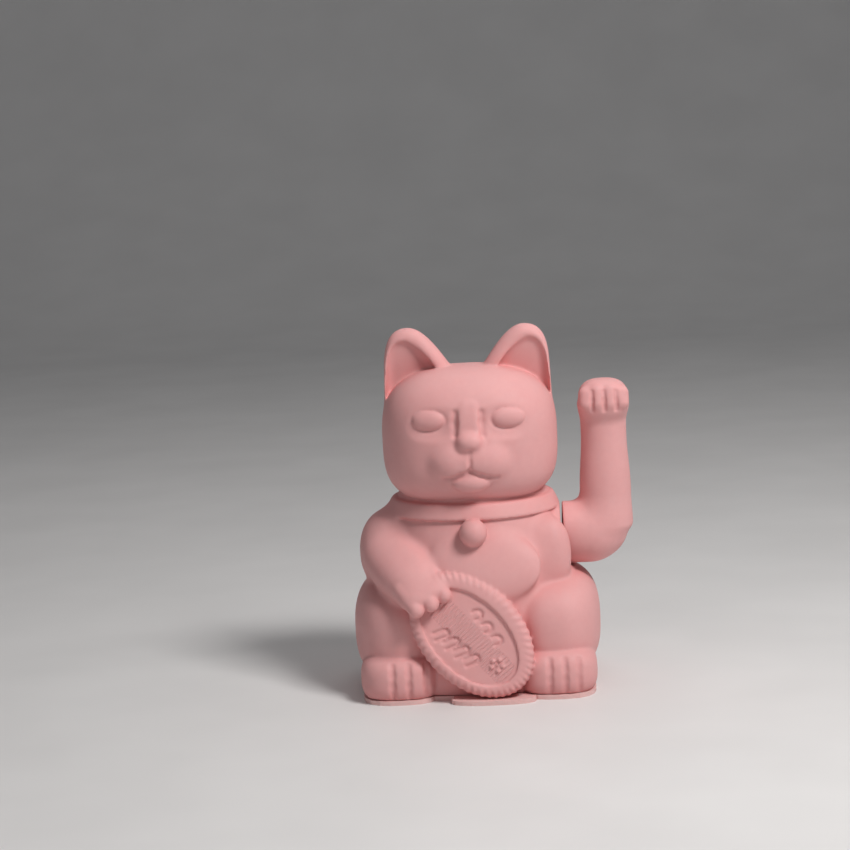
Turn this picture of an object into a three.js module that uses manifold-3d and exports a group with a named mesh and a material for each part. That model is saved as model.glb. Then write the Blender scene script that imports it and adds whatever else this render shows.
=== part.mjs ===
// A beckoning cat: a hollow figurine in two shells on a base plate, whose raised arm rocks on a steel
// axle. Inside, a pendulum with a magnet and a counterweight hangs from the same axle over a coil,
// and a dry cell in the base feeds the coil through a small circuit board.
// Millimetres, +Z up, the cat faces -Y, and its raised arm is on the +X side. The origin lies on the
// plane that the base rests on, under the parting plane of the two shells.
import * as THREE from "three";
import { mergeVertices } from "three/addons/utils/BufferGeometryUtils.js";
import Module from "manifold-3d";

const wasm = await Module();
wasm.setup();

// ---------------------------------------------------------------- driving dimensions

const GAP = 0.3; // between pieces that touch on the real object
const FIT = 0.15; // radial clearance round pins, screws and the axle
const WALL = 2.2; // of the two body shells
const ARM_WALL = 1.7; // of the two arm shells
const PARTING_Y = 0; // plane where front and rear pieces meet

// Base plate
const BASE_T = 1.8;
const BASE_LIP = 1; // how far the plate shows outside the shells
const SHELL_Z = BASE_T + GAP; // where the shells begin

// Torso: an oval turned form, as radius and height at five stations
const TORSO = {
  foot: [41, SHELL_Z],
  belly: [45, 28],
  chest: [39.8, 55],
  neck: [33, 77],
  top: [27, 88],
  y: 2,
};
const TORSO_DEPTH = 0.86; // depth of the torso as a share of its width
const RUMP = { size: [44, 38.5, 22], at: [0, 2, 11], plan: 3, side: 2.6 };

// Head, ears and face
const HEAD = { size: [36.3, 30.5, 28], at: [0, -1, 106], plan: 2.6, side: 3.6 };
const EAR_TIP = [24, 150];
const EAR_OUTER_X = 35.4;
const EAR_INNER_X = 6;
const EAR_FRONT = -7;
const EAR_BACK = 7;
const EAR_RIM = 3;
const EYE = { size: [7, 1.7, 4.1], x: 16, z: 116.5 };
const NOSE = { size: [5.8, 5, 4], z: 106.5 };
const BRIDGE = { size: [5.2, 3.6, 11], z: 114.5 };
const MUZZLE = { size: [8.6, 4, 6.4], x: 6.6, z: 98 };
const CHIN = { size: [8.5, 3.4, 4.5], z: 91.5 };

// Collar and bell
const COLLAR_H = 6;
const COLLAR_PROUD = 1.5;
const BELL_R = 5.7;

// Haunches, feet, tail
const HAUNCH = { size: [20.5, 36, 22], x: 31, y: -0.5, z: 26, plan: 2.5, side: 2.8 };
const FOOT = { size: [16.5, 17, 11], x: 32.3, y: -24.5, z: 9.3, plan: 2.8, side: 3 };
const TOE_GROOVES = { left: [-35.2, -28.6, -21.6], right: [29, 35.2, 41] };
const TAIL_R = 5.2;

// Coin: an oval plate that stands on the base and leans back on the belly
const COIN = { a: 30, b: 20.8, t: 8.4, rim: 6, recess: 1.2, aside: -1.2, at: [-2.3, -37.2, 27.8] };
const COIN_STAND = 7; // how far the base plate reaches past the coin's foot on each side
const COIN_LEAN = THREE.MathUtils.degToRad(8.5);
const COIN_TURN = THREE.MathUtils.degToRad(42);

// The arm that holds the coin
const SHOULDER = { size: [15, 16.5, 18], at: [-33, -3, 57.5] };
const FOREARM = { size: [21, 12.6, 10.4], from: [-38, -9, 60.5], to: [-20.5, -38.5, 45] };
const HAND = { size: [10, 10.6, 6.4], reach: 0.86 };

// The raised arm, turned about the pivot
const PIVOT_Z = 61.5;
const SEAT_X = 36.2; // flat seat on the side of the torso
const ARM_GAP = 0.8; // between that seat and the arm's flat inner face
const ELBOW = { r: 13, straight: 11, length: 26 };
const FORE = {
  low: [10.2, PIVOT_Z + 2.5],
  mid: [10.7, PIVOT_Z + 18.5],
  thin: [9.5, PIVOT_Z + 39.5],
  top: [9.7, PIVOT_Z + 54.5],
  x: 55.6,
  depth: 0.92,
};
const BEND = { size: [10.2, 9.6, 12] };
const PAW = { size: [10.6, 10.2, 8.8], at: [55.9, -2.2, PIVOT_Z + 55.9], plan: 2.8, side: 2.8 };
const POCKET_CLEARANCE = 1.3;

// Axle, bracket and pendulum
const AXLE_R = 1.5;
const PENDULUM_X = 17;
const CHEEK_T = 2;
const CHEEK_SPAN = 19; // between the middles of the bracket's two cheeks
const CHEEK_HALF_H = 6;
const BRACKET_BACK_Y = 16;
const LEVER_HUB = { r: 4.5, length: 9 };
const WEIGHT = { r: 6.8, length: 13 };
const MAGNET = { r: 5.5, length: 3.5 };
const CUP_WALL = 1.3;
const MAGNET_GAP = 1.4; // between the magnet's path and the coil
const PENDULUM_TRIM_Y = 0.2; // sets the swinging parts' balance point under the axle
const CLIP = { r: 3, t: 0.8 };

// Battery bay: one cell along Y
const CELL = { r: 7.25, length: 50.5, nub_r: 2.75, nub: 1 };
const BAY = { x: -12, y: 1, wall: 1.4, side: 1.95, end: 3.2, headroom: 1.3 };
const DOOR_LEDGE = 2; // what the plate keeps at each end of the opening
const SPRING = { wire_r: 0.45, turns: 4, big_r: 4.6, small_r: 2.4 };

// Circuit board and coil
const BOARD = { size: [24, 38], t: 1.6, z: 6.8, x: PENDULUM_X };
const BOBBIN = { flange_r: 9, core_r: 4, bore_r: 2, height: 6, flange: 1.1 };

// Screws
const SCREW_R = 1.4;
const SCREW_HEAD_R = 2.7;
const BASE_HEAD_Z = [0.35, 0.95]; // of a base screw's sunk head
const BASE_SINK = 1.1; // depth of the hole that the head lies in
const RIB_T = 1.6;
const BOSS_R = 3.3;
const BASE_SCREWS = [
  [-37, -20],
  [37, -20],
  [-34, 19],
  [34, 19],
];
const BASE_SCREW_LENGTH = 11;
const PEG = { r: 1.1, length: 3, boss_r: 3, depth: 6 };

// ---------------------------------------------------------------- finishes

const FINISHES = {
  shell: { color: 0xd99a98, roughness: 0.62, metalness: 0 },
  inner: { color: 0xe9e6de, roughness: 0.55, metalness: 0 },
  steel: { color: 0xb9bcc0, roughness: 0.3, metalness: 0.95 },
  iron: { color: 0x6f7378, roughness: 0.45, metalness: 0.9 },
  copper: { color: 0xb5653a, roughness: 0.35, metalness: 0.85 },
  board: { color: 0x2f6b3c, roughness: 0.5, metalness: 0 },
  cell: { color: 0x2d3e57, roughness: 0.4, metalness: 0.2 },
  red: { color: 0xb3261e, roughness: 0.5, metalness: 0 },
  black: { color: 0x1c1c1e, roughness: 0.5, metalness: 0 },
  tan: { color: 0xc9a877, roughness: 0.5, metalness: 0 },
};

// ---------------------------------------------------------------- solids

/** A closed three.js geometry as a manifold solid. */
function solid(geometry) {
  const bare = geometry.clone();
  bare.deleteAttribute("normal");
  bare.deleteAttribute("uv");
  const merged = mergeVertices(bare, 1e-4);
  const mesh = new wasm.Mesh({
    numProp: 3,
    vertProperties: new Float32Array(merged.attributes.position.array),
    triVerts: new Uint32Array(merged.index.array),
  });
  return new wasm.Manifold(mesh);
}

/** All the solids of a list as one. */
const join = (parts) => parts.reduce((whole, part) => whole.add(part));

/** The first solid without the others. */
const cut = (whole, parts) => parts.reduce((rest, part) => rest.subtract(part), whole);

/** A box given by its low and high corners. */
function box(low, high) {
  const size = high.map((h, i) => h - low[i]);
  const middle = high.map((h, i) => (h + low[i]) / 2);
  return solid(new THREE.BoxGeometry(...size).translate(...middle));
}

const AXES = {
  x: [0, 0, -Math.PI / 2],
  y: [0, 0, 0],
  z: [Math.PI / 2, 0, 0],
};

/** A round bar along an axis, from one end to the other, at a place on the two other axes. */
function bar(axis, r, from, to, at, sides = 20) {
  const rod = new THREE.CylinderGeometry(r, r, to - from, sides);
  rod.applyMatrix4(new THREE.Matrix4().makeRotationFromEuler(new THREE.Euler(...AXES[axis])));
  const middle = (from + to) / 2;
  const spot = { x: [middle, ...at], y: [at[0], middle, at[1]], z: [...at, middle] }[axis];
  return solid(rod.translate(...spot));
}

/** A ring along an axis: a bar with a bore. */
function ring(axis, r, bore, from, to, at, sides = 20) {
  return bar(axis, r, from, to, at, sides).subtract(bar(axis, bore, from - 1, to + 1, at, sides));
}

/** A turned form about Z: radius and height pairs, from the axis back to the axis. */
function turned(points, sides) {
  const profile = points.map(([r, z]) => new THREE.Vector2(r, z));
  return new THREE.LatheGeometry(profile, sides).rotateX(Math.PI / 2);
}

/**
 * A rounded form between an ellipsoid and a box. size holds its half sizes, plan is the squareness
 * of its horizontal outline and side that of its upright one, where 2 is an ellipse.
 */
function roundedForm({ size, plan = 2, side = 2 }, columns = 16, rows = 10) {
  const form = new THREE.SphereGeometry(1, columns, rows).rotateX(Math.PI / 2);
  const place = form.getAttribute("position");
  const point = new THREE.Vector3();
  for (let i = 0; i < place.count; i += 1) {
    point.fromBufferAttribute(place, i);
    const level = (Math.abs(point.x) ** plan + Math.abs(point.y) ** plan) ** (side / plan);
    point.multiplyScalar((level + Math.abs(point.z) ** side) ** (-1 / side));
    place.setXYZ(i, point.x, point.y, point.z);
  }
  return form.scale(...size);
}

/** A rounded form made smaller all round by a wall. */
const inset = (form, wall) => ({ ...form, size: form.size.map((half) => half - wall) });

/** A rounded form at a place. */
const formAt = (form, at, columns, rows) => solid(roundedForm(form, columns, rows).translate(...at));

/** Axes of something that points along one direction, with its width kept square to another. */
function basis(direction, facing) {
  const along = new THREE.Vector3(...direction).normalize();
  const out = new THREE.Vector3(...facing);
  const wide = new THREE.Vector3().crossVectors(out, along).normalize();
  out.crossVectors(along, wide);
  return new THREE.Matrix4().makeBasis(along, wide, out);
}

// ---------------------------------------------------------------- body

const HALF_SPACE = 200;
const BEHIND = box([-HALF_SPACE, PARTING_Y, -HALF_SPACE], [HALF_SPACE, HALF_SPACE, HALF_SPACE]);
const BEFORE = box([-HALF_SPACE, -HALF_SPACE, -HALF_SPACE], [HALF_SPACE, PARTING_Y - GAP, HALF_SPACE]);
const ABOVE_BASE = box([-HALF_SPACE, -HALF_SPACE, SHELL_Z], [HALF_SPACE, HALF_SPACE, HALF_SPACE]);

/** The torso's outline from foot to neck, each radius less the wall. */
function torso(wall) {
  const stations = [TORSO.foot, TORSO.belly, TORSO.chest, TORSO.neck, TORSO.top];
  const curve = new THREE.SplineCurve(stations.map(([r, z]) => new THREE.Vector2(r - wall, z)));
  const outline = curve.getPoints(8).map((p) => [p.x, p.y]);
  const closed = [[0, TORSO.foot[1]], ...outline, [0, TORSO.top[1]]];
  return solid(turned(closed, wall ? 20 : 28).scale(1, TORSO_DEPTH, 1).translate(0, TORSO.y, 0));
}

/** The torso's half width at a height. */
function torsoRadius(z) {
  const stations = [TORSO.foot, TORSO.belly, TORSO.chest, TORSO.neck, TORSO.top];
  const curve = new THREE.SplineCurve(stations.map(([r, h]) => new THREE.Vector2(r, h)));
  const points = curve.getPoints(100);
  return points.reduce((best, p) => (Math.abs(p.y - z) < Math.abs(best.y - z) ? p : best)).x;
}

/** The ear on one side (side is 1 or -1): an upright leaf with a scooped front. */
function ear(side) {
  const [tipX, tipZ] = EAR_TIP;
  const outline = new THREE.Shape();
  outline.moveTo(EAR_INNER_X, HEAD.at[2]);
  outline.lineTo(EAR_INNER_X, HEAD.at[2] + HEAD.size[2] - 1.5);
  outline.bezierCurveTo(EAR_INNER_X + 4.5, tipZ - 11, tipX - 7, tipZ, tipX, tipZ);
  outline.bezierCurveTo(tipX + 8, tipZ, EAR_OUTER_X - 1.5, tipZ - 7, EAR_OUTER_X - 1.2, tipZ - 15);
  outline.lineTo(EAR_OUTER_X, HEAD.at[2]);
  const bevel = 2.2;
  const leaf = new THREE.ExtrudeGeometry(outline, {
    depth: EAR_BACK - EAR_FRONT - 2 * bevel,
    bevelSize: bevel,
    bevelThickness: bevel,
    bevelOffset: -bevel,
    bevelSegments: 1,
    curveSegments: 6,
  });
  leaf.rotateX(Math.PI / 2).translate(0, EAR_BACK - bevel, 0);
  const scoop = { size: [tipX - EAR_INNER_X - EAR_RIM * 3, 6.5, 15], plan: 2, side: 2.2 };
  const hollow = roundedForm(scoop, 12, 10).rotateY(0.25).translate(tipX - 0.4, EAR_FRONT, tipZ - 17);
  const cut3d = solid(leaf).subtract(solid(hollow));
  return side > 0 ? cut3d : cut3d.mirror([1, 0, 0]);
}

/** The room inside an ear, open to the head below. */
function earRoom(side) {
  const room = { size: [6, 2, 13], plan: 2, side: 2 };
  return formAt(room, [side * (EAR_TIP[0] - 1), EAR_BACK - WALL - 2, EAR_TIP[1] - 22], 8, 6);
}

/** Where the head's surface lies in front of a point of the face. */
function faceY(x, z) {
  const level = 1 - (Math.abs(z - HEAD.at[2]) / HEAD.size[2]) ** HEAD.side;
  const wide = level ** (HEAD.plan / HEAD.side) - (Math.abs(x) / HEAD.size[0]) ** HEAD.plan;
  return HEAD.at[1] - HEAD.size[1] * wide ** (1 / HEAD.plan);
}

/** Eyes, nose, muzzle and chin, each half sunk in the face. */
function face() {
  const small = (form, x, z, sunk = 0) => formAt(form, [x, faceY(x, z) + sunk, z], 12, 8);
  const eyes = [-EYE.x, EYE.x].map((x) => small(EYE, x, EYE.z));
  const pads = [-MUZZLE.x, MUZZLE.x].map((x) => small(MUZZLE, x, MUZZLE.z, 1.6));
  const nose = small(NOSE, 0, NOSE.z);
  const bridge = small(BRIDGE, 0, BRIDGE.z, 1.4);
  const chin = small(CHIN, 0, CHIN.z, 1.8);
  return [...eyes, ...pads, nose, bridge, chin];
}

/** The collar round the neck, with the bell on its front. */
function collar() {
  const low = TORSO.neck[1] - COLLAR_H / 2 - 0.5;
  const r = (z) => torsoRadius(z);
  const profile = [
    [20, low],
    [r(low) + COLLAR_PROUD * 0.5, low],
    [r(low + 1) + COLLAR_PROUD, low + 1],
    [r(low + COLLAR_H - 1) + COLLAR_PROUD, low + COLLAR_H - 1],
    [r(low + COLLAR_H) + COLLAR_PROUD * 0.5, low + COLLAR_H],
    [20, low + COLLAR_H],
    [20, low],
  ];
  const band = turned(profile, 28).scale(1, TORSO_DEPTH, 1).translate(0, TORSO.y, 0);
  const bellZ = low - BELL_R * 0.78;
  const bellY = TORSO.y - torsoRadius(bellZ) * TORSO_DEPTH - BELL_R * 0.3;
  const bell = solid(new THREE.SphereGeometry(BELL_R, 12, 8).translate(0, bellY, bellZ));
  return [solid(band), bell];
}

/** The coin: an oval plate with a raised rim round a sunk face. */
function coin() {
  const oval = (a, b) => new THREE.Shape().absellipse(0, 0, a, b, 0, 2 * Math.PI);
  const bevel = 1.8;
  const plate = new THREE.ExtrudeGeometry(oval(COIN.b, COIN.a), {
    depth: COIN.t - 2 * bevel,
    bevelSize: bevel,
    bevelThickness: bevel,
    bevelOffset: -bevel,
    bevelSegments: 1,
    curveSegments: 16,
  });
  plate.translate(0, 0, bevel - COIN.t / 2);
  const field = new THREE.ExtrudeGeometry(oval(COIN.b - COIN.rim, COIN.a - COIN.rim), {
    depth: COIN.recess + 1,
    bevelEnabled: false,
    curveSegments: 14,
  });
  field.translate(COIN.aside, 0, COIN.t / 2 - COIN.recess);
  const place = new THREE.Matrix4()
    .makeTranslation(...COIN.at)
    .multiply(new THREE.Matrix4().makeRotationX(Math.PI / 2 - COIN_LEAN))
    .multiply(new THREE.Matrix4().makeRotationZ(COIN_TURN));
  return solid(plate.applyMatrix4(place)).subtract(solid(field.applyMatrix4(place)));
}

/** Directions of the arm that holds the coin. */
const FOREARM_WAY = FOREARM.to.map((end, i) => end - FOREARM.from[i]);
const FOREARM_BASIS = basis(FOREARM_WAY, [0.25, -1, 0.25]);

/** A point along the forearm, from 0 at the shoulder to 1 at the fingertips. */
const alongForearm = (share) => FOREARM.from.map((start, i) => start + FOREARM_WAY[i] * share);

/** The forearm and the hand that lies on the coin. */
function restingArm(wall) {
  const mesh = wall ? [10, 6] : [14, 8];
  const shoulder = formAt(inset({ ...SHOULDER, plan: 2.2, side: 2.2 }, wall), SHOULDER.at, ...mesh);
  const upper = roundedForm(inset({ ...FOREARM, plan: 2.4, side: 2.2 }, wall), ...mesh);
  upper.applyMatrix4(FOREARM_BASIS).translate(...alongForearm(0.44));
  return [shoulder, solid(upper)];
}

/** The hand with two grooves between its fingers. */
function hand() {
  const palm = roundedForm({ ...HAND, plan: 3, side: 2.4 }, 12, 8);
  palm.applyMatrix4(FOREARM_BASIS).translate(...alongForearm(HAND.reach));
  const grooves = [-1, 1].map((side) => {
    const groove = new THREE.CylinderGeometry(0.9, 0.9, 9, 4).rotateZ(Math.PI / 2);
    groove.translate(HAND.size[0] * 0.55, (side * HAND.size[1]) / 3, HAND.size[2] * 0.96);
    groove.applyMatrix4(FOREARM_BASIS).translate(...alongForearm(HAND.reach));
    return solid(groove);
  });
  return cut(solid(palm), grooves);
}

/** A foot with grooves between its toes. */
function foot(side) {
  const body = formAt(FOOT, [side * FOOT.x, FOOT.y, FOOT.z], 16, 10);
  const grooves = TOE_GROOVES[side < 0 ? "left" : "right"].map((x) => {
    const off = Math.abs(x - side * FOOT.x) / FOOT.size[0];
    const front = FOOT.y - FOOT.size[1] * (1 - off ** FOOT.plan) ** (1 / FOOT.plan);
    return bar("z", 0.9, SHELL_Z + 1.5, FOOT.z + 6, [x, front + 0.1], 4);
  });
  return cut(body, grooves);
}

/** The tail, lying across the lower back. */
function tail() {
  const route = new THREE.CatmullRomCurve3([
    new THREE.Vector3(20, 34, 9),
    new THREE.Vector3(8, 38.5, 11),
    new THREE.Vector3(-8, 39, 17),
    new THREE.Vector3(-16, 35, 28),
  ]);
  const section = new THREE.Shape().absarc(0, 0, TAIL_R, 0, 2 * Math.PI);
  const tube = new THREE.ExtrudeGeometry(section, {
    steps: 7,
    curveSegments: 5,
    bevelEnabled: false,
    extrudePath: route,
  });
  const tip = new THREE.SphereGeometry(TAIL_R, 10, 6).translate(...route.getPoint(1));
  return solid(tube).add(solid(tip));
}

const haunchAt = (side) => [side * HAUNCH.x, HAUNCH.y, HAUNCH.z];

/** The flat pocket in the torso's side that the raised arm turns in, out to far outside. */
function armPocket(grow, inner) {
  const r = ELBOW.r + POCKET_CLEARANCE + grow;
  return bar("x", r, SEAT_X - inner, HALF_SPACE, [0, PIVOT_Z], 36);
}

/** The round boss on the torso's side whose flat face is the arm's seat. */
const armSeat = () => bar("x", ELBOW.r, SEAT_X - ELBOW.r, SEAT_X, [0, PIVOT_Z], 24);

/** The whole outer shape of the cat without the raised arm. */
function outerBody() {
  const forms = [
    armSeat(),
    torso(0),
    formAt(RUMP, RUMP.at, 24, 10),
    formAt(HEAD, HEAD.at, 26, 14),
    ...[-1, 1].map((side) => formAt(HAUNCH, haunchAt(side), 18, 10)),
    ...[-1, 1].map(foot),
    ...[-1, 1].map(ear),
    ...face(),
    ...restingArm(0),
    hand(),
    coin(),
    tail(),
    ...collar(),
  ];
  return join(forms).subtract(armPocket(0, 0)).intersect(ABOVE_BASE);
}

/** The space that the shells leave round the battery bay. */
function bayRelief() {
  const around = BAY.wall + GAP;
  const low = [BAY_LOW[0] - around, BAY_LOW[1] - around, SHELL_Z - 1];
  return box(low, [BAY_HIGH[0] + around, BAY_HIGH[1] + around, BAY_ROOF + around]);
}

/** The room inside the shells. */
function innerRoom() {
  const forms = [
    torso(WALL),
    formAt(inset(RUMP, WALL), RUMP.at, 24, 8),
    formAt(inset(HEAD, WALL), HEAD.at, 16, 8),
    ...[-1, 1].map((side) => formAt(inset(HAUNCH, WALL), haunchAt(side), 12, 8)),
    ...[-1, 1].map((side) => formAt(inset(FOOT, WALL), [side * FOOT.x, FOOT.y, FOOT.z], 8, 6)),
    ...[-1, 1].map(earRoom),
    ...restingArm(WALL),
  ];
  const below = box([-34, -20, SHELL_Z - 1], [34, 20, SHELL_Z + 1]);
  return join([...forms, below, bayRelief()]).subtract(armPocket(WALL, WALL));
}

/** Bosses for the base screws, each with a rib out to the wall. */
function baseBosses(where) {
  const top = SHELL_Z + BASE_SCREW_LENGTH;
  return where.flatMap(([x, y]) => {
    const out = x + Math.sign(x) * 20;
    const rib = box([Math.min(x, out), y - RIB_T / 2, SHELL_Z], [Math.max(x, out), y + RIB_T / 2, top]);
    return [bar("z", BOSS_R, SHELL_Z, top, [x, y], 10), rib];
  });
}

/** Pilot holes of the base screws. */
function basePilots(where) {
  const top = BASE_SCREW_LENGTH - 1;
  return where.map((at) => bar("z", SCREW_R + FIT, SHELL_Z - 1, SHELL_Z + top, at, 10));
}

/** Places of the pegs that line the shells up: height, and the half width inside the wall there. */
const PEG_PLACES = [
  [HAUNCH.x + HAUNCH.size[0] - WALL - 1.6, HAUNCH.z],
  [HEAD.size[0] - WALL - 1.6, HEAD.at[2]],
].flatMap(([x, z]) => [
  [-x, z],
  [x, z],
]);

const BRACKET_X = [PENDULUM_X - CHEEK_SPAN / 2, PENDULUM_X + CHEEK_SPAN / 2];
const BRACKET_SCREWS = BRACKET_X.map((x, i) => [x + (i ? -5 : 5), PIVOT_Z]);

const BAY_LOW = [BAY.x - CELL.r - BAY.side, BAY.y - CELL.length / 2 - BAY.end];
const BAY_HIGH = [BAY.x + CELL.r + BAY.side, BAY.y + CELL.length / 2 + BAY.end + CELL.nub];
const CELL_Z = BASE_T + 2 * GAP + CELL.r;
const BAY_ROOF = CELL_Z + CELL.r + BAY.headroom;
const OUTER = outerBody();
const INNER = innerRoom();
const SHAFT_HOLE = bar("x", BOSS_R + 1, SEAT_X - 3 * WALL, SEAT_X + 1, [0, PIVOT_Z], 24);

/** The front shell: face, chest, coin and feet. */
function frontShell() {
  const screws = BASE_SCREWS.filter(([, y]) => y < PARTING_Y);
  const pegBosses = PEG_PLACES.map((at) => bar("y", PEG.boss_r, -PEG.depth, 0, at, 10));
  const holes = PEG_PLACES.map((at) => bar("y", PEG.r + FIT, -PEG.length - GAP * 2, 1, at, 8));
  const lugs = join([...baseBosses(screws), ...pegBosses]).intersect(OUTER);
  return cut(OUTER.subtract(INNER).add(lugs), [...basePilots(screws), ...holes, SHAFT_HOLE])
    .intersect(BEFORE);
}

/** The rear shell: back, tail, and the bosses that carry the bracket. */
function rearShell() {
  const screws = BASE_SCREWS.filter(([, y]) => y > PARTING_Y);
  const pegBosses = PEG_PLACES.map((at) => bar("y", PEG.boss_r, 0, PEG.depth, at, 10));
  const from = BRACKET_BACK_Y + CHEEK_T + GAP;
  const posts = BRACKET_SCREWS.map((at) => bar("y", BOSS_R, from, HALF_SPACE / 4, at, 16));
  const lugs = join([...baseBosses(screws), ...pegBosses, ...posts]).intersect(OUTER);
  const pilots = BRACKET_SCREWS.map((at) => bar("y", SCREW_R + FIT, from - 1, from + 4.5, at, 12));
  const shell = cut(OUTER.subtract(INNER).add(lugs), [...basePilots(screws), ...pilots, SHAFT_HOLE]);
  const pegs = PEG_PLACES.map((at) => bar("y", PEG.r, -PEG.length, 1, at, 8));
  return join([shell.intersect(BEHIND), ...pegs]);
}

// ---------------------------------------------------------------- base, battery and door

const CELL_Y = [-1, 1].map((end) => BAY.y + BAY.end / 2 + (end * CELL.length) / 2);
const BOARD_POSTS = [
  [BOARD.x - BOARD.size[0] / 2 + 3.2, BOARD.size[1] / 2 - 3.2],
  [BOARD.x + BOARD.size[0] / 2 - 3.2, -BOARD.size[1] / 2 + 3.2],
];

/** How wide a rounded form is at the height where the shells begin, as a share of its full size. */
const shareAtBase = ({ size, side }, z) => (1 - (Math.abs(z - SHELL_Z) / size[2]) ** side) ** (1 / side);

/** A slab of the base plate under a rounded form, with the lip that shows outside the shells. */
function slabUnder(form, [x, y, z], sides) {
  const share = shareAtBase(form, z);
  const [a, b] = form.size.map((half) => half * share + BASE_LIP);
  const points = Array.from({ length: sides }, (_, i) => {
    const [c, s] = [Math.cos((2 * Math.PI * i) / sides), Math.sin((2 * Math.PI * i) / sides)];
    const r = (Math.abs(c) ** form.plan + Math.abs(s) ** form.plan) ** (-1 / form.plan);
    return new THREE.Vector2(x + a * r * c, y + b * r * s);
  });
  const slab = { depth: BASE_T, bevelEnabled: false };
  return solid(new THREE.ExtrudeGeometry(new THREE.Shape(points), slab));
}

/** The outline that the shells stand on: rump, feet and coin. */
function footprint() {
  const { min, max } = coin().intersect(box([-99, -99, SHELL_Z], [99, 99, SHELL_Z + 1.5])).boundingBox();
  const [a, b] = [0, 1].map((i) => (max[i] - min[i]) / 2);
  const stand = { size: [a + COIN_STAND, b + 1, 10], plan: 2.4, side: 2 };
  const tongue = box([min[0] - COIN_STAND, min[1] + 3, 0], [max[0] + COIN_STAND, 0, BASE_T]);
  return join([
    slabUnder(RUMP, RUMP.at, 32),
    ...[-1, 1].map((side) => slabUnder(FOOT, [side * FOOT.x, FOOT.y, FOOT.z], 24)),
    slabUnder(stand, [(min[0] + max[0]) / 2, (min[1] + max[1]) / 2, SHELL_Z], 24),
    tongue,
  ]);
}

/** The base plate with the battery bay, the board's posts and the screw holes. */
function basePlate() {
  const low = [BAY_LOW[0] - BAY.wall, BAY_LOW[1] - BAY.wall, 0.4];
  const high = [BAY_HIGH[0] + BAY.wall, BAY_HIGH[1] + BAY.wall, BAY_ROOF + BAY.wall];
  const bay = box(low, high);
  const room = box([...BAY_LOW, BASE_T], [...BAY_HIGH, BAY_ROOF]);
  const front = BAY_LOW[1] + DOOR_LEDGE;
  const rear = BAY_HIGH[1] - DOOR_LEDGE;
  const opening = box([BAY_LOW[0], front, -1], [BAY_HIGH[0], rear, BASE_T + 1]);
  const slots = [low[1] - 1, high[1] - 3].map((y) => {
    return box([BAY.x - 1.8, y, CELL_Z + 2.4], [BAY.x + 1.8, y + 4, CELL_Z + 4.2]);
  });
  const posts = BOARD_POSTS.map((at) => bar("z", 2.6, 1, BOARD.z - GAP, at, 14));
  const pilots = BOARD_POSTS.map((at) => bar("z", 0.9 + FIT, 2.5, BOARD.z + 1, at, 10));
  const holes = BASE_SCREWS.map((at) => bar("z", SCREW_R + 2 * FIT, -1, BASE_T + 1, at, 16));
  const sinks = BASE_SCREWS.map((at) => bar("z", SCREW_HEAD_R + 2 * FIT, -1, BASE_SINK, at, 16));
  const cuts = [room, opening, ...slots, ...pilots, ...holes, ...sinks];
  return cut(join([footprint(), bay, ...posts]), cuts);
}

const DOOR = {
  low: [BAY_LOW[0] + GAP, BAY_LOW[1] + DOOR_LEDGE + GAP],
  high: [BAY_HIGH[0] - GAP, BAY_HIGH[1] - DOOR_LEDGE - GAP],
  z: 0.35,
  t: 1.2,
};
const HOOK = { x: 5.5, half: 1.5, t: 1.4, toe: 1.5, tip: 0.9 };

/** The battery door: a plate with two hooks at the rear and a thumb notch at the front. */
function batteryDoor() {
  const plate = box([...DOOR.low, DOOR.z], [...DOOR.high, DOOR.z + DOOR.t]);
  const hooks = [-1, 1].map((side) => {
    const x = [-1, 1].map((edge) => BAY.x + side * HOOK.x + edge * HOOK.half);
    const y = DOOR.high[1];
    const top = BASE_T + GAP + HOOK.tip;
    const stem = box([x[0], y - HOOK.t, DOOR.z + 0.5], [x[1], y, top]);
    const toe = box([x[0], y - HOOK.t, BASE_T + GAP], [x[1], y + HOOK.toe, top]);
    return stem.add(toe);
  });
  const notch = bar("x", 1, BAY.x - 4, BAY.x + 4, [DOOR.low[1] + 3.2, DOOR.z - 0.2], 12);
  const ribs = [0, 1, 2].map((i) => {
    const y = DOOR.low[1] + 7 + i * 2.4;
    return box([BAY.x - 5, y, DOOR.z - 0.5], [BAY.x + 5, y + 0.9, DOOR.z + 0.45]);
  });
  return cut(join([plate, ...hooks]), [notch, ...ribs]);
}

/** The dry cell, with its nub towards the rear contact. */
function batteryCell() {
  const at = [BAY.x, CELL_Z];
  const nub = bar("y", CELL.nub_r, CELL_Y[1] - 1, CELL_Y[1] + CELL.nub, at, 14);
  return bar("y", CELL.r, CELL_Y[0], CELL_Y[1], at, 22).add(nub);
}

/** A tube along a curve. */
function tube(points, r, steps, sides = 8) {
  const curve = new THREE.CatmullRomCurve3(points.map((p) => new THREE.Vector3(...p)));
  const section = new THREE.Shape().absarc(0, 0, r, 0, 2 * Math.PI);
  return solid(
    new THREE.ExtrudeGeometry(section, {
      steps,
      curveSegments: sides / 2,
      bevelEnabled: false,
      extrudePath: curve,
    }),
  );
}

const CONTACT_T = 0.4;
const SPRING_END = BAY_LOW[1] + 0.6;

/** The conical spring that presses on the cell's flat end. */
function contactSpring() {
  const from = SPRING_END + GAP + SPRING.wire_r;
  const to = CELL_Y[0] - GAP - SPRING.wire_r;
  const steps = SPRING.turns * 8;
  const points = Array.from({ length: steps + 1 }, (_, i) => {
    const share = i / steps;
    const r = SPRING.big_r + (SPRING.small_r - SPRING.big_r) * share;
    const angle = 2 * Math.PI * SPRING.turns * share;
    return [BAY.x + r * Math.cos(angle), from + (to - from) * share, CELL_Z + r * Math.sin(angle)];
  });
  return tube(points, SPRING.wire_r, steps, 4);
}

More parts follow.
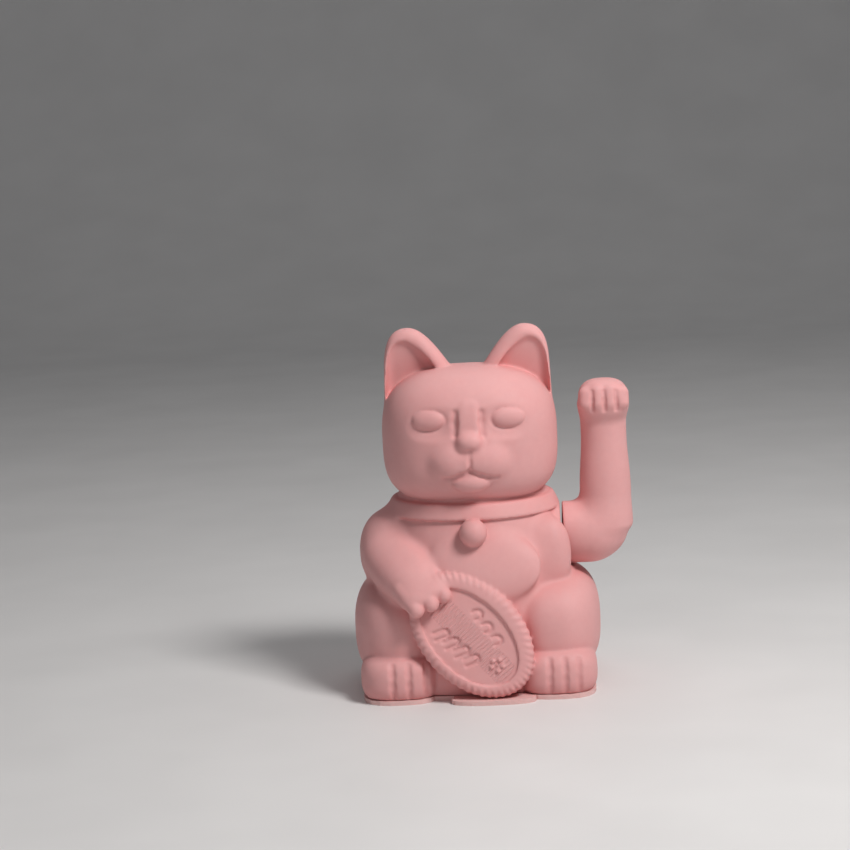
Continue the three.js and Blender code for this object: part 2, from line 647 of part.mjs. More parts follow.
/** A contact plate against one end of the bay, with a tag out through its slot. */
function contactPlate(end) {
  const face = end < 0 ? SPRING_END - CONTACT_T : CELL_Y[1] + CELL.nub + GAP;
  const inner = [face, face + CONTACT_T];
  const plate = box([BAY.x - 6, inner[0], CELL_Z - 6], [BAY.x + 6, inner[1], CELL_Z + 5]);
  const outside = end < 0 ? BAY_LOW[1] - BAY.wall - 2.2 : BAY_HIGH[1] + BAY.wall + 2.2;
  const out = [Math.min(outside, inner[0]), Math.max(outside, inner[1])];
  const tag = box([BAY.x - 1.4, out[0], CELL_Z + 3], [BAY.x + 1.4, out[1], CELL_Z + 3.4]);
  return plate.add(tag);
}

// ---------------------------------------------------------------- circuit and coil

const BOARD_TOP = BOARD.z + BOARD.t;

/** The circuit board, with holes for its two screws. */
function circuitBoard() {
  const [w, d] = BOARD.size;
  const slab = box([BOARD.x - w / 2, -d / 2, BOARD.z], [BOARD.x + w / 2, d / 2, BOARD_TOP]);
  return cut(slab, BOARD_POSTS.map((at) => bar("z", 1.3, 0, BOARD_TOP + 1, at, 12)));
}

const COIL_Z = BOARD_TOP + GAP;
const COIL_TOP = COIL_Z + BOBBIN.height;

/** The bobbin: two flanges on a bored core. */
function coilBobbin() {
  const at = [PENDULUM_X, 0];
  const flanges = [COIL_Z, COIL_TOP - BOBBIN.flange].map((z) => {
    return bar("z", BOBBIN.flange_r, z, z + BOBBIN.flange, at, 24);
  });
  const core = bar("z", BOBBIN.core_r, COIL_Z, COIL_TOP, at, 20);
  return cut(join([...flanges, core]), [bar("z", BOBBIN.bore_r, 0, COIL_TOP + 1, at, 14)]);
}

/** The winding between the flanges. */
function coilWinding() {
  const from = COIL_Z + BOBBIN.flange + GAP;
  const to = COIL_TOP - BOBBIN.flange - GAP;
  return ring("z", BOBBIN.flange_r - 0.6, BOBBIN.core_r + GAP, from, to, [PENDULUM_X, 0], 24);
}

/** A transistor: a round body with one flat side, on three legs joined at the board. */
function transistor() {
  const at = [PENDULUM_X - 6.5, -14.5];
  const body = bar("z", 2.3, BOARD_TOP + 2.4, BOARD_TOP + 7, at, 18);
  const flat = box([at[0] - 4, at[1] + 1.4, 0], [at[0] + 4, at[1] + 4, 40]);
  const legs = [-1.3, 0, 1.3].map((off) => {
    const x = at[0] + off;
    return box([x - 0.2, at[1] - 0.2, BOARD_TOP + GAP], [x + 0.2, at[1] + 0.2, BOARD_TOP + 3]);
  });
  return join([body.subtract(flat), ...legs]);
}

/** A capacitor standing on the board. */
const capacitor = () => bar("z", 2.6, BOARD_TOP + GAP, BOARD_TOP + 8, [PENDULUM_X + 0.5, 14.6], 20);

/** A resistor lying on the board with its two wires bent down. */
function resistor() {
  const [x, y, z] = [PENDULUM_X + 7.6, 13.4, BOARD_TOP + 1.6];
  const body = bar("y", 1.15, y - 2.9, y + 2.9, [x, z], 12);
  const wire = bar("y", 0.3, y - 4.6, y + 4.6, [x, z], 6);
  const legs = [-4.4, 4.4].map((off) => bar("z", 0.3, BOARD_TOP + GAP, z, [x, y + off], 6));
  return join([body, wire, ...legs]);
}

// ---------------------------------------------------------------- bracket, axle and pendulum

/** The bracket: two cheeks that carry the axle, on a back that screws to the rear shell. */
function bearingBracket() {
  const [low, high] = [PIVOT_Z - CHEEK_HALF_H, PIVOT_Z + CHEEK_HALF_H];
  const cheeks = BRACKET_X.map((x) => {
    const arm = box([x - CHEEK_T / 2, 0, low], [x + CHEEK_T / 2, BRACKET_BACK_Y + CHEEK_T, high]);
    return arm.add(bar("x", CHEEK_HALF_H, x - CHEEK_T / 2, x + CHEEK_T / 2, [0, PIVOT_Z], 24));
  });
  const back = box([BRACKET_X[0], BRACKET_BACK_Y, low], [BRACKET_X[1], BRACKET_BACK_Y + CHEEK_T, high]);
  const bores = bar("x", AXLE_R + FIT, BRACKET_X[0] - 5, BRACKET_X[1] + 5, [0, PIVOT_Z], 24);
  const holes = BRACKET_SCREWS.map((at) => {
    return bar("y", SCREW_R + 2 * FIT, BRACKET_BACK_Y - 1, BRACKET_BACK_Y + 4, at, 12);
  });
  return cut(join([...cheeks, back]), [bores, ...holes]);
}

const ARM_FACE_X = SEAT_X + ARM_GAP;
const HUB_END_X = ARM_FACE_X + ELBOW.length - 4 * ARM_WALL;
const AXLE_X = [BRACKET_X[0] - CHEEK_T - 2.2, HUB_END_X - 3];

/** The steel axle through bracket, lever and arm. */
const pivotAxle = () => bar("x", AXLE_R, AXLE_X[0], AXLE_X[1], [0, PIVOT_Z], 24);

/** A retaining clip on the axle, just outside a cheek. */
function axleClip(x) {
  const clip = ring("x", CLIP.r, AXLE_R + FIT, x, x + CLIP.t, [0, PIVOT_Z], 20);
  return clip.subtract(box([x - 1, -0.7, PIVOT_Z - 6], [x + 2, 0.7, PIVOT_Z - 1]));
}

const MAGNET_Z = COIL_TOP + MAGNET_GAP;
const CUP_Z = [MAGNET_Z + 1, MAGNET_Z + MAGNET.length + 2.4 + WEIGHT.length];

/** The lever that hangs on the axle and holds magnet and counterweight in a cup. */
function pendulumLever() {
  const half = LEVER_HUB.length / 2;
  const hub = bar("x", LEVER_HUB.r, PENDULUM_X - half, PENDULUM_X + half, [0, PIVOT_Z], 24);
  const rod = box([PENDULUM_X - 3, -1.6, CUP_Z[1] - 3], [PENDULUM_X + 3, 1.6, PIVOT_Z]);
  const at = [PENDULUM_X, PENDULUM_TRIM_Y];
  const cup = bar("z", WEIGHT.r + GAP + CUP_WALL, CUP_Z[0], CUP_Z[1] + 2, at, 28);
  const [low, high] = [CUP_Z[1] - WEIGHT.length - 2 * GAP, CUP_Z[1] - GAP];
  const r = WEIGHT.r + GAP;
  const weightRoom = bar("z", r, low, high, at, 28);
  const window = box([PENDULUM_X - r, -30, low], [PENDULUM_X + r, PENDULUM_TRIM_Y, high]);
  const magnetRoom = bar("z", MAGNET.r + GAP, 0, MAGNET_Z + MAGNET.length + GAP, at, 24);
  const bore = bar("x", AXLE_R + 0.05, 0, 40, [0, PIVOT_Z], 24);
  return cut(join([hub, rod, cup]), [weightRoom, window, magnetRoom, bore]);
}

/** The magnet in the bottom of the cup. */
function magnet() {
  return bar("z", MAGNET.r, MAGNET_Z, MAGNET_Z + MAGNET.length, [PENDULUM_X, PENDULUM_TRIM_Y], 24);
}

/** The steel counterweight in the cup. */
function counterweight() {
  const top = CUP_Z[1] - 2 * GAP;
  return bar("z", WEIGHT.r, top - WEIGHT.length + GAP, top, [PENDULUM_X, PENDULUM_TRIM_Y], 28);
}

// ---------------------------------------------------------------- raised arm

/** The raised arm's whole shape, each size less the wall. */
function armForm(wall) {
  const r = ELBOW.r - wall;
  const start = ARM_FACE_X + wall;
  const straight = ARM_FACE_X + ELBOW.straight;
  const end = ARM_FACE_X + ELBOW.length - wall;
  const dome = Array.from({ length: 6 }, (_, i) => {
    const angle = (i / 5) * (Math.PI / 2);
    return [r * Math.cos(angle), straight + (end - straight) * Math.sin(angle)];
  });
  const elbow = turned([[0, start], [r, start], ...dome], wall ? 12 : 24);
  elbow.rotateY(Math.PI / 2).translate(0, 0, PIVOT_Z);
  const stations = [FORE.low, FORE.mid, FORE.thin, FORE.top];
  const curve = new THREE.SplineCurve(stations.map(([w, z]) => new THREE.Vector2(w - wall, z)));
  const side = curve.getPoints(6).map((p) => [p.x, p.y]);
  const fore = turned([[0, FORE.low[1]], ...side, [0, FORE.top[1]]], wall ? 10 : 20);
  fore.scale(1, FORE.depth, 1).translate(FORE.x, 0, 0);
  const bend = formAt(inset(BEND, wall), [FORE.x, 0, PIVOT_Z + 4], ...(wall ? [8, 6] : [16, 8]));
  const paw = formAt(inset(PAW, wall), PAW.at, ...(wall ? [8, 6] : [16, 10]));
  return join([solid(elbow), bend, solid(fore), paw]);
}

/** The hub inside the arm: a sleeve on the axle with a stem up the forearm. */
function armHub() {
  const x = [BRACKET_X[1] + CHEEK_T + CLIP.t + 1.2, HUB_END_X];
  const sleeve = bar("x", BOSS_R, x[0], x[1], [0, PIVOT_Z], 24);
  const wall = ARM_FACE_X + ARM_WALL + GAP;
  const flange = bar("x", 6, wall, wall + 2, [0, PIVOT_Z], 24);
  const stem = box([FORE.x - 4, -2, PIVOT_Z], [FORE.x - 0.5, 2, PIVOT_Z + 30]);
  const bore = bar("x", AXLE_R + 0.05, 0, AXLE_X[1] + 0.05, [0, PIVOT_Z], 24);
  return join([sleeve, flange, stem]).subtract(bore);
}

/** Both halves of the arm before they are parted. */
function armShell() {
  const sleeveHole = bar("x", BOSS_R + GAP, ARM_FACE_X - 1, ARM_FACE_X + 4, [0, PIVOT_Z], 24);
  const grooves = [-5, 0.2, 5.4].map((x) => {
    const spot = [PAW.at[0] + x, PAW.at[1] - PAW.size[1] + 0.6];
    return bar("z", 0.85, PAW.at[2] - 5, PAW.at[2] + 6, spot, 4);
  });
  return cut(armForm(0), [armForm(ARM_WALL), sleeveHole, ...grooves]);
}

const ARM = armShell();

// ---------------------------------------------------------------- leads

const PAD_Z = BOARD_TOP + GAP + 0.6;

/** A lead from a contact's tag round the bay's corner to the board (end is -1 front, 1 rear). */
function lead(end) {
  const wallY = (end < 0 ? BAY_LOW : BAY_HIGH)[1] + end * BAY.wall;
  const wallX = BAY_HIGH[0] + BAY.wall;
  const route = [
    [BAY.x + 2.2, wallY + end * 1.2, CELL_Z + 3.2],
    [BAY.x + 7, wallY + end * 1.4, CELL_Z + 2.4],
    [wallX + 0.8, wallY + end * 1.2, CELL_Z + 1],
    [wallX + 2.2, wallY - end * 4, CELL_Z + 0.6],
    [BOARD.x - BOARD.size[0] / 2 + 1.6, end * 10.5, PAD_Z],
  ];
  return tube(route, 0.6, 18, 6);
}

// ---------------------------------------------------------------- screws

/** A countersunk base screw, driven up from below. */
function baseScrew([x, y]) {
  const [low, high] = BASE_HEAD_Z;
  const head = bar("z", SCREW_HEAD_R, low, high, [x, y], 14);
  const shank = bar("z", SCREW_R, (low + high) / 2, BASE_SCREW_LENGTH, [x, y], 10);
  const slot = box([x - 1.9, y - 0.3, 0], [x + 1.9, y + 0.3, (low + high) / 2]);
  return head.add(shank).subtract(slot);
}

/** A board screw, driven down into its post. */
function boardScrew(at) {
  const head = bar("z", 2, BOARD_TOP + GAP, BOARD_TOP + 1.5, at, 14);
  return head.add(bar("z", 0.9, 3, BOARD_TOP + 1, at, 10));
}

/** A bracket screw, driven backwards into its boss. */
function bracketScrew(at) {
  const face = BRACKET_BACK_Y - GAP;
  const head = bar("y", SCREW_HEAD_R, face - 1.6, face, at, 16);
  return head.add(bar("y", SCREW_R, face - 1, face + CHEEK_T + 5, at, 12));
}

// ---------------------------------------------------------------- assembly

const object = new THREE.Group();

/** Adds a solid to the object as a named mesh in a finish. */
function add(name, finish, shape, group = object) {
  const { vertProperties, triVerts, numProp } = shape.getMesh();
  const geometry = new THREE.BufferGeometry();
  const buffer = new THREE.InterleavedBuffer(vertProperties, numProp);
  geometry.setAttribute("position", new THREE.InterleavedBufferAttribute(buffer, 3, 0));
  geometry.setIndex(new THREE.BufferAttribute(triVerts, 1));
  const flat = geometry.toNonIndexed();
  flat.computeVertexNormals();
  const mesh = new THREE.Mesh(flat, new THREE.MeshStandardMaterial(FINISHES[finish]));
  mesh.name = name;
  group.add(mesh);
}

add("front_shell", "shell", frontShell());
add("rear_shell", "shell", rearShell());
add("base_plate", "shell", basePlate());
add("battery_door", "shell", batteryDoor());
add("battery_cell", "cell", batteryCell());
add("contact_spring", "steel", contactSpring());
add("contact_plate_front", "steel", contactPlate(-1));
add("contact_plate_rear", "steel", contactPlate(1));
add("lead_red", "red", lead(1));
add("lead_black", "black", lead(-1));
add("circuit_board", "board", circuitBoard());
add("coil_bobbin", "inner", coilBobbin());
add("coil_winding", "copper", coilWinding());
add("transistor", "black", transistor());
add("capacitor", "black", capacitor());
add("resistor", "tan", resistor());
add("bearing_bracket", "inner", bearingBracket());
BASE_SCREWS.forEach((at, i) => add(`base_screw_${i + 1}`, "steel", baseScrew(at)));
BOARD_POSTS.forEach((at, i) => add(`board_screw_${i + 1}`, "steel", boardScrew(at)));
BRACKET_SCREWS.forEach((at, i) => add(`bracket_screw_${i + 1}`, "steel", bracketScrew(at)));

const swinging = new THREE.Group();
object.add(swinging);
add("pivot_axle", "steel", pivotAxle(), swinging);
add("axle_clip_inner", "steel", axleClip(BRACKET_X[0] - CHEEK_T / 2 - GAP - CLIP.t), swinging);
add("axle_clip_outer", "steel", axleClip(BRACKET_X[1] + CHEEK_T / 2 + GAP), swinging);
add("pendulum_lever", "inner", pendulumLever(), swinging);
add("magnet", "iron", magnet(), swinging);
add("counterweight", "iron", counterweight(), swinging);
add("arm_hub", "inner", armHub(), swinging);
add("arm_front", "shell", ARM.intersect(BEFORE), swinging);
add("arm_rear", "shell", ARM.intersect(BEHIND), swinging);

export default object;
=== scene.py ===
"""A beckoning cat figurine of soft pink plastic, sculpted over its assembled parts.

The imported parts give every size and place. The shells and the raised arm are sculpted here as fields
of distance, blended like clay, and then cut into the same pieces as the parts that they stand for.
Sculpting is done in millimetres, and every finished mesh is in metres.
"""

import logging
import math
from dataclasses import dataclass, field
from enum import Enum
from typing import Iterable, Optional, Sequence, Union

import bmesh
import bpy
import numpy as np
import openvdb
from mathutils import Matrix, Vector


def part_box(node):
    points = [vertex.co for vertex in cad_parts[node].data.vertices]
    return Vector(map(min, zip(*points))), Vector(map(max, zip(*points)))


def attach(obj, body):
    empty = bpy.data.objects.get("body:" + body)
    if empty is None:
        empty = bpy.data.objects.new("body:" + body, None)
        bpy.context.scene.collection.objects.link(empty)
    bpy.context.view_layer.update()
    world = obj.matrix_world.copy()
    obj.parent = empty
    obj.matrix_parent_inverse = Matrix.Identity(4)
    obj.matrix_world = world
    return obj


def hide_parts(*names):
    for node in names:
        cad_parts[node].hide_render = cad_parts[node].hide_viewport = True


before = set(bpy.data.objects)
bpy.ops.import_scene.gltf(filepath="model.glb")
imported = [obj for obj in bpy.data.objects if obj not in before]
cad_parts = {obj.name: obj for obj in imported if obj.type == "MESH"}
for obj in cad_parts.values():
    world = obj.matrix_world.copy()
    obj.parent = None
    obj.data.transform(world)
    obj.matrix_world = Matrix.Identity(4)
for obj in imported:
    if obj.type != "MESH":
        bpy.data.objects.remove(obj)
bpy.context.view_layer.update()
LOG = logging.getLogger("beckoning_cat")

MM = 0.001
FAR = 60.0
MARGIN = 3.0
SEAM = 0.12
TINY = 1e-3
Triple = tuple[float, float, float]
Points = np.ndarray


# ---------------------------------------------------------------- fields of distance


def smooth_min(a: Points, b: Points, blend: float) -> Points:
    """Join two distances with a soft crease.

    Args:
        a: Distances to the first solid.
        b: Distances to the second solid.
        blend: Width of the crease in millimetres.

    Returns:
        Distances to both solids together.
    """
    if blend <= 0:
        return np.minimum(a, b)
    share = np.maximum(blend - np.abs(a - b), 0.0) / blend
    return np.minimum(a, b) - share * share * (blend / 4)


def rounded_corner(a: Points, b: Points, radius: float) -> Points:
    """Intersect two distances with a rounded edge.

    Args:
        a: Distances beyond the first face.
        b: Distances beyond the second face.
        radius: Radius of the edge in millimetres.

    Returns:
        Distances to the solid inside both faces.
    """
    c, d = a + radius, b + radius
    return np.minimum(np.maximum(c, d), 0) + np.hypot(np.maximum(c, 0), np.maximum(d, 0)) - radius


def rise(values: Points, start: float, end: float) -> Points:
    """Ramp smoothly from 0 at start to 1 at end."""
    t = np.clip((values - start) / (end - start), 0, 1)
    return t * t * (3 - 2 * t)


class Shape:
    """A solid given by how far points lie outside it.

    Attributes:
        low: Lowest corner of a box that holds the solid.
        high: Highest corner of that box.
    """

    low: np.ndarray
    high: np.ndarray

    def distance(self, p: Points) -> Points:
        """Distances from points to the surface, negative inside."""
        raise NotImplementedError


@dataclass
class Rounded(Shape):
    """A form between an ellipsoid and a box.

    Attributes:
        size: Half sizes along its own axes.
        at: Its middle.
        plan: Squareness of its level outline, where 2 is an ellipse.
        side: Squareness of its upright outline.
        turn: Its axes, as the columns of a matrix.
        crown: Squareness of its upright outline above the middle, if it differs.
    """

    size: Triple
    at: Triple
    plan: float = 2.0
    side: float = 2.0
    turn: Optional[np.ndarray] = None
    crown: Optional[float] = None

    def __post_init__(self) -> None:
        """Work out the box that holds the form."""
        half = np.array(self.size)
        if self.turn is not None:
            half = np.abs(self.turn) @ half
        self.low, self.high = np.array(self.at) - half, np.array(self.at) + half

    def distance(self, p: Points) -> Points:
        """Distances from points to the surface, negative inside."""
        q = p - np.array(self.at, np.float32)
        if self.turn is not None:
            q = q @ self.turn.astype(np.float32)
        if self.crown is None:
            return self.gauge_distance(q, self.side)
        return np.where(q[:, 2] > 0, self.gauge_distance(q, self.crown), self.gauge_distance(q, self.side))

    def gauge_distance(self, q: Points, side: float) -> Points:
        """Distances for one upright squareness.

        Args:
            q: Points in the form's own axes.
            side: Squareness of the upright outline.

        Returns:
            The distances, negative inside.
        """
        a, b, c = self.size
        u, v, w = (np.abs(q[:, i]) / self.size[i] + 1e-6 for i in range(3))
        if self.plan == 2.0 and side == 2.0:
            gauge = np.sqrt(u * u + v * v + w * w)
            slope = np.sqrt((u / a) ** 2 + (v / b) ** 2 + (w / c) ** 2) / gauge
            return (gauge - 1) / slope
        up, vp = u ** (self.plan - 1), v ** (self.plan - 1)
        level = up * u + vp * v
        ws = w ** (side - 1)
        whole = level ** (side / self.plan) + ws * w
        gauge = whole ** (1 / side)
        lean = level ** (side / self.plan - 1)
        slope = np.sqrt((lean * up / a) ** 2 + (lean * vp / b) ** 2 + (ws / c) ** 2)
        return (gauge - 1) / (slope * gauge ** (1 - side))


@dataclass
class Rod(Shape):
    """A round bar with round ends, from one point and radius to another."""

    start: Triple
    end: Triple
    start_r: float
    end_r: float

    def __post_init__(self) -> None:
        """Work out the box that holds the bar."""
        reach = max(self.start_r, self.end_r)
        ends = np.array([self.start, self.end])
        self.low, self.high = ends.min(0) - reach, ends.max(0) + reach

    def distance(self, p: Points) -> Points:
        """Distances from points to the surface, negative inside."""
        start = np.array(self.start, np.float32)
        way = np.array(self.end, np.float32) - start
        q = p - start
        t = np.clip(q @ way / float(way @ way), 0, 1)
        off = q - t[:, None] * way
        return np.sqrt((off * off).sum(1)) - (self.start_r + (self.end_r - self.start_r) * t)


@dataclass
class Turned(Shape):
    """An oval turned form: a half width for each height.

    Attributes:
        stations: Half width and height pairs, from low to high.
        depth: Depth as a share of width.
        at: Place of its axis.
    """

    stations: Sequence[tuple[float, float]]
    depth: float
    at: tuple[float, float]

    def __post_init__(self) -> None:
        """Spread a smooth curve through the stations."""
        width, height = zip(*self.stations)
        self.heights = np.linspace(height[0], height[-1], 90)
        self.widths = smooth_through(height, width, self.heights)
        wide = float(self.widths.max())
        x, y = self.at
        self.low = np.array([x - wide, y - wide * self.depth, height[0]])
        self.high = np.array([x + wide, y + wide * self.depth, height[-1]])

    def width_at(self, z: Union[float, Points]) -> Points:
        """Half width of the form at a height."""
        return np.interp(z, self.heights, self.widths)

    def distance(self, p: Points) -> Points:
        """Distances from points to the surface, negative inside."""
        x, y = p[:, 0] - self.at[0], p[:, 1] - self.at[1]
        gauge = np.sqrt(x * x + (y / self.depth) ** 2) + 1e-6
        slope = np.sqrt(x * x + (y / self.depth ** 2) ** 2) / gauge
        beside = (gauge - self.width_at(p[:, 2])) / slope
        above = np.maximum(p[:, 2] - self.high[2], self.low[2] - p[:, 2])
        return rounded_corner(beside * 0.97, above, 1.0)


def smooth_through(x: Sequence[float], y: Sequence[float], at: Points) -> Points:
    """Read a smooth curve through given points.

    Args:
        x: Places of the points, rising.
        y: Values of the points.
        at: Places to read.

    Returns:
        The curve's values there.
    """
    xs, ys = np.array(x, float), np.array(y, float)
    slope = np.gradient(ys, xs)
    i = np.clip(np.searchsorted(xs, at) - 1, 0, len(xs) - 2)
    step = xs[i + 1] - xs[i]
    t = (at - xs[i]) / step
    near = (2 * t ** 3 - 3 * t ** 2 + 1) * ys[i] + (t ** 3 - 2 * t ** 2 + t) * step * slope[i]
    return near + (3 * t ** 2 - 2 * t ** 3) * ys[i + 1] + (t ** 3 - t ** 2) * step * slope[i + 1]


class Action(Enum):
    """What a step does to the clay."""

    JOIN = "join"
    CARVE = "carve"


@dataclass
class Step:
    """One shape worked into the clay, with the width of its crease."""

    action: Action
    shape: Shape
    blend: float


@dataclass
class Clay:
    """A sculpted solid, as a list of steps that are worked in order."""

    steps: list[Step] = field(default_factory=list)

    def join(self, shape: Shape, blend: float) -> "Clay":
        """Add a shape with a soft crease."""
        self.steps.append(Step(Action.JOIN, shape, blend))
        return self

    def carve(self, shape: Shape, blend: float) -> "Clay":
        """Take a shape away with a soft edge."""
        self.steps.append(Step(Action.CARVE, shape, blend))
        return self

    def distance(self, p: Points) -> Points:
        """Distances from points that lie near each other to the sculpted surface.

        Args:
            p: The points, in millimetres.

        Returns:
            Their distances, negative inside.
        """
        low, high = p.min(0), p.max(0)
        d = np.full(len(p), FAR, np.float32)
        for step in self.steps:
            reach = step.blend + MARGIN
            missed = np.any(step.shape.low - reach > high) or np.any(step.shape.high + reach < low)
            if missed:
                continue
            e = step.shape.distance(p)
            if step.action is Action.JOIN:
                d = smooth_min(d, e, step.blend)
            else:
                d = -smooth_min(-d, e, step.blend)
        return d

    def box(self) -> tuple[np.ndarray, np.ndarray]:
        """The box that holds every joined shape."""
        joined = [s.shape for s in self.steps if s.action is Action.JOIN]
        return np.min([s.low for s in joined], 0), np.max([s.high for s in joined], 0)

    def surface_y(self, x: float, z: float) -> float:
        """Find how far forward the surface lies.

        Args:
            x: Place across.
            z: Height.

        Returns:
            The y of the first surface met on the way back.
        """
        y = np.arange(-FAR, 0, 0.1)
        p = np.stack([np.full_like(y, x), y, np.full_like(y, z)], 1).astype(np.float32)
        inside = self.distance(p) < 0
        return float(y[np.argmax(inside)]) if inside.any() else -FAR

    def groove(self, path: Sequence[tuple[float, float]], r: float, blend: float,
               sink: float = 0.0) -> "Clay":
        """Carve a groove along the front of the surface.

        Args:
            path: Places across and heights that it passes.
            r: Radius of the tool.
            blend: Softness of its edges.
            sink: How much deeper than half its radius it goes.

        Returns:
            The clay itself.
        """
        spots = [(x, self.surface_y(x, z) + sink, z) for x, z in path]
        for a, b in zip(spots, spots[1:]):
            self.carve(Rod(a, b, r, r), blend)
        return self

    def surface(self, voxel: float, level: float = 0.0,
                depth: tuple[float, float] = (-FAR * 2, FAR * 2)) -> tuple[Points, Points]:
        """Mesh the sculpted surface.

        Args:
            voxel: Size of one cell in millimetres.
            level: Distance of the meshed surface from the real one, negative for one inside it.
            depth: How far it reaches from front to back, beyond which it is closed off.

        Returns:
            Corner points in millimetres, and the quads between them.
        """
        cell, group, band = 8, 4, 2.5 * voxel
        low, high = self.box()
        low = low - 4 * voxel
        low[1], high[1] = max(low[1], depth[0]), min(high[1], depth[1])
        counts = np.ceil((high - low + 4 * voxel) / (voxel * cell)).astype(int)
        cells = np.stack(np.meshgrid(*[np.arange(n) for n in counts], indexing="ij"), -1).reshape(-1, 3)
        middles = (low + (cells + 0.5) * cell * voxel).astype(np.float32)
        coarse = self.coarse(middles, cells // group) - level
        values = np.repeat(np.repeat(np.repeat(np.sign(coarse).reshape(counts), cell, 0), cell, 1), cell, 2)
        values = values.astype(np.float32) * band
        near = np.abs(coarse) < cell * voxel * 1.15 + 1.2
        local = np.stack(np.meshgrid(*[np.arange(cell)] * 3, indexing="ij"), -1).reshape(-1, 3)
        for bunch in bunches(cells[near], group):
            spots = (bunch[:, None, :] * cell + local[None]).reshape(-1, 3)
            d = self.distance((low + spots * voxel).astype(np.float32)) - level
            values[spots[:, 0], spots[:, 1], spots[:, 2]] = np.clip(d, -band, band)
        values[:, :2], values[:, -2:] = band, band
        grid = openvdb.FloatGrid(band)
        grid.copyFromArray(values)
        points, quads = grid.convertToQuads(0.0)
        return points * voxel + low, quads

    def coarse(self, middles: Points, groups: Points) -> Points:
        """Distances at the middles of cells, worked group by group.

        Args:
            middles: Middles of the cells.
            groups: Number of each cell's group along each axis.

        Returns:
            A distance for each cell.
        """
        out = np.empty(len(middles), np.float32)
        for rows in rows_by(groups):
            out[rows] = self.distance(middles[rows])
        return out


def rows_by(keys: Points) -> Iterable[Points]:
    """Row numbers of equal keys, one array for each key.

    Args:
        keys: One key in each row.

    Returns:
        The arrays of row numbers.
    """
    order = np.lexsort(keys.T)
    ordered = keys[order]
    change = np.flatnonzero(np.any(ordered[1:] != ordered[:-1], 1)) + 1
    return np.split(order, change)


def bunches(cells: Points, group: int) -> Iterable[Points]:
    """Cells that lie in the same larger block, one array for each block."""
    return (cells[rows] for rows in rows_by(cells // group))


@dataclass
class Leaf(Shape):
    """An upright leaf: an outline seen from the front, thinner towards its tip.

    Attributes:
        outline: Corners of the outline, as places across and heights.
        middle_y: Where its middle lies from front to back.
        foot_half: Half thickness low down.
        tip_half: Half thickness at the tip.
        edge: Radius of its edges.
        less: What is taken off the outline all round.
    """

    outline: Points
    middle_y: float
    foot_half: float
    tip_half: float
    edge: float
    less: float = 0.0

    def __post_init__(self) -> None:
        """Work out the box that holds the leaf."""
        (x0, z0), (x1, z1) = self.outline.min(0), self.outline.max(0)
        self.low = np.array([x0, self.middle_y - self.foot_half, z0])
        self.high = np.array([x1, self.middle_y + self.foot_half, z1])

    def distance(self, p: Points) -> Points:
        """Distances from points to the surface, negative inside."""
        flat = outline_distance(p[:, [0, 2]], self.outline) + self.less
        thin = rise(p[:, 2], self.high[2] - 24, self.high[2])
        half = self.foot_half + (self.tip_half - self.foot_half) * thin
        return rounded_corner(flat, np.abs(p[:, 1] - self.middle_y) - half, self.edge)


def outline_distance(p: Points, corners: Points) -> Points:
    """Distances in a plane from points to a closed outline.

    Args:
        p: Points of the plane.
        corners: The outline's corners in order.

    Returns:
        The distances, negative inside.
    """
    nearest = np.full(len(p), np.inf)
    inside = np.zeros(len(p), bool)
    for a, b in zip(corners, np.roll(corners, -1, 0)):
        way, q = b - a, p - a
        t = np.clip(q @ way / (way @ way), 0, 1)
        nearest = np.minimum(nearest, ((q - t[:, None] * way) ** 2).sum(1))
        if a[1] != b[1]:
            crossing = a[0] + way[0] * (p[:, 1] - a[1]) / way[1]
            inside ^= ((a[1] > p[:, 1]) != (b[1] > p[:, 1])) & (p[:, 0] < crossing)
    return np.where(inside, -np.sqrt(nearest), np.sqrt(nearest))


def bezier(a: Points, b: Points, c: Points, d: Points, count: int) -> list[Points]:
    """Points along a curve with four control points, without its first one.

    Args:
        a: Where the curve starts.
        b: What it first heads for.
        c: What it comes from at its end.
        d: Where it ends.
        count: How many points are made.

    Returns:
        The points in order.
    """
    shares = [(i + 1) / count for i in range(count)]
    ends = [np.array(v, float) for v in (a, b, c, d)]
    return [(1 - t) ** 3 * ends[0] + 3 * t * (1 - t) ** 2 * ends[1] + 3 * t * t * (1 - t) * ends[2]
            + t ** 3 * ends[3] for t in shares]


@dataclass
class Disc(Shape):
    """A round plate square to one axis: a radius and two ends along the axis."""

    axis: int
    r: float
    start: float
    end: float
    at: Triple
    edge: float = 0.0

    def __post_init__(self) -> None:
        """Work out the box that holds the plate."""
        self.low, self.high = np.array(self.at) - self.r, np.array(self.at) + self.r
        self.low[self.axis], self.high[self.axis] = self.start, self.end

    def distance(self, p: Points) -> Points:
        """Distances from points to the surface, negative inside."""
        across = np.delete(p - np.array(self.at, np.float32), self.axis, 1)
        beside = np.hypot(across[:, 0], across[:, 1]) - self.r
        along = p[:, self.axis]
        return rounded_corner(beside, np.maximum(self.start - along, along - self.end), self.edge)


@dataclass
class Band(Shape):
    """A flat band round a turned form.

    Attributes:
        form: The form that it goes round.
        low_z: Height of its lower edge.
        high_z: Height of its upper edge.
        proud: How far it stands out.
        edge: Radius of its edges.
    """

    form: Turned
    low_z: float
    high_z: float
    proud: float
    edge: float

    def __post_init__(self) -> None:
        """Work out the box that holds the band."""
        self.low, self.high = self.form.low.copy() - self.proud, self.form.high.copy() + self.proud
        self.low[2], self.high[2] = self.low_z, self.high_z

    def distance(self, p: Points) -> Points:
        """Distances from points to the surface, negative inside."""
        beside = self.form.distance(p) - self.proud
        z = p[:, 2]
        return rounded_corner(beside, np.maximum(self.low_z - z, z - self.high_z), self.edge)


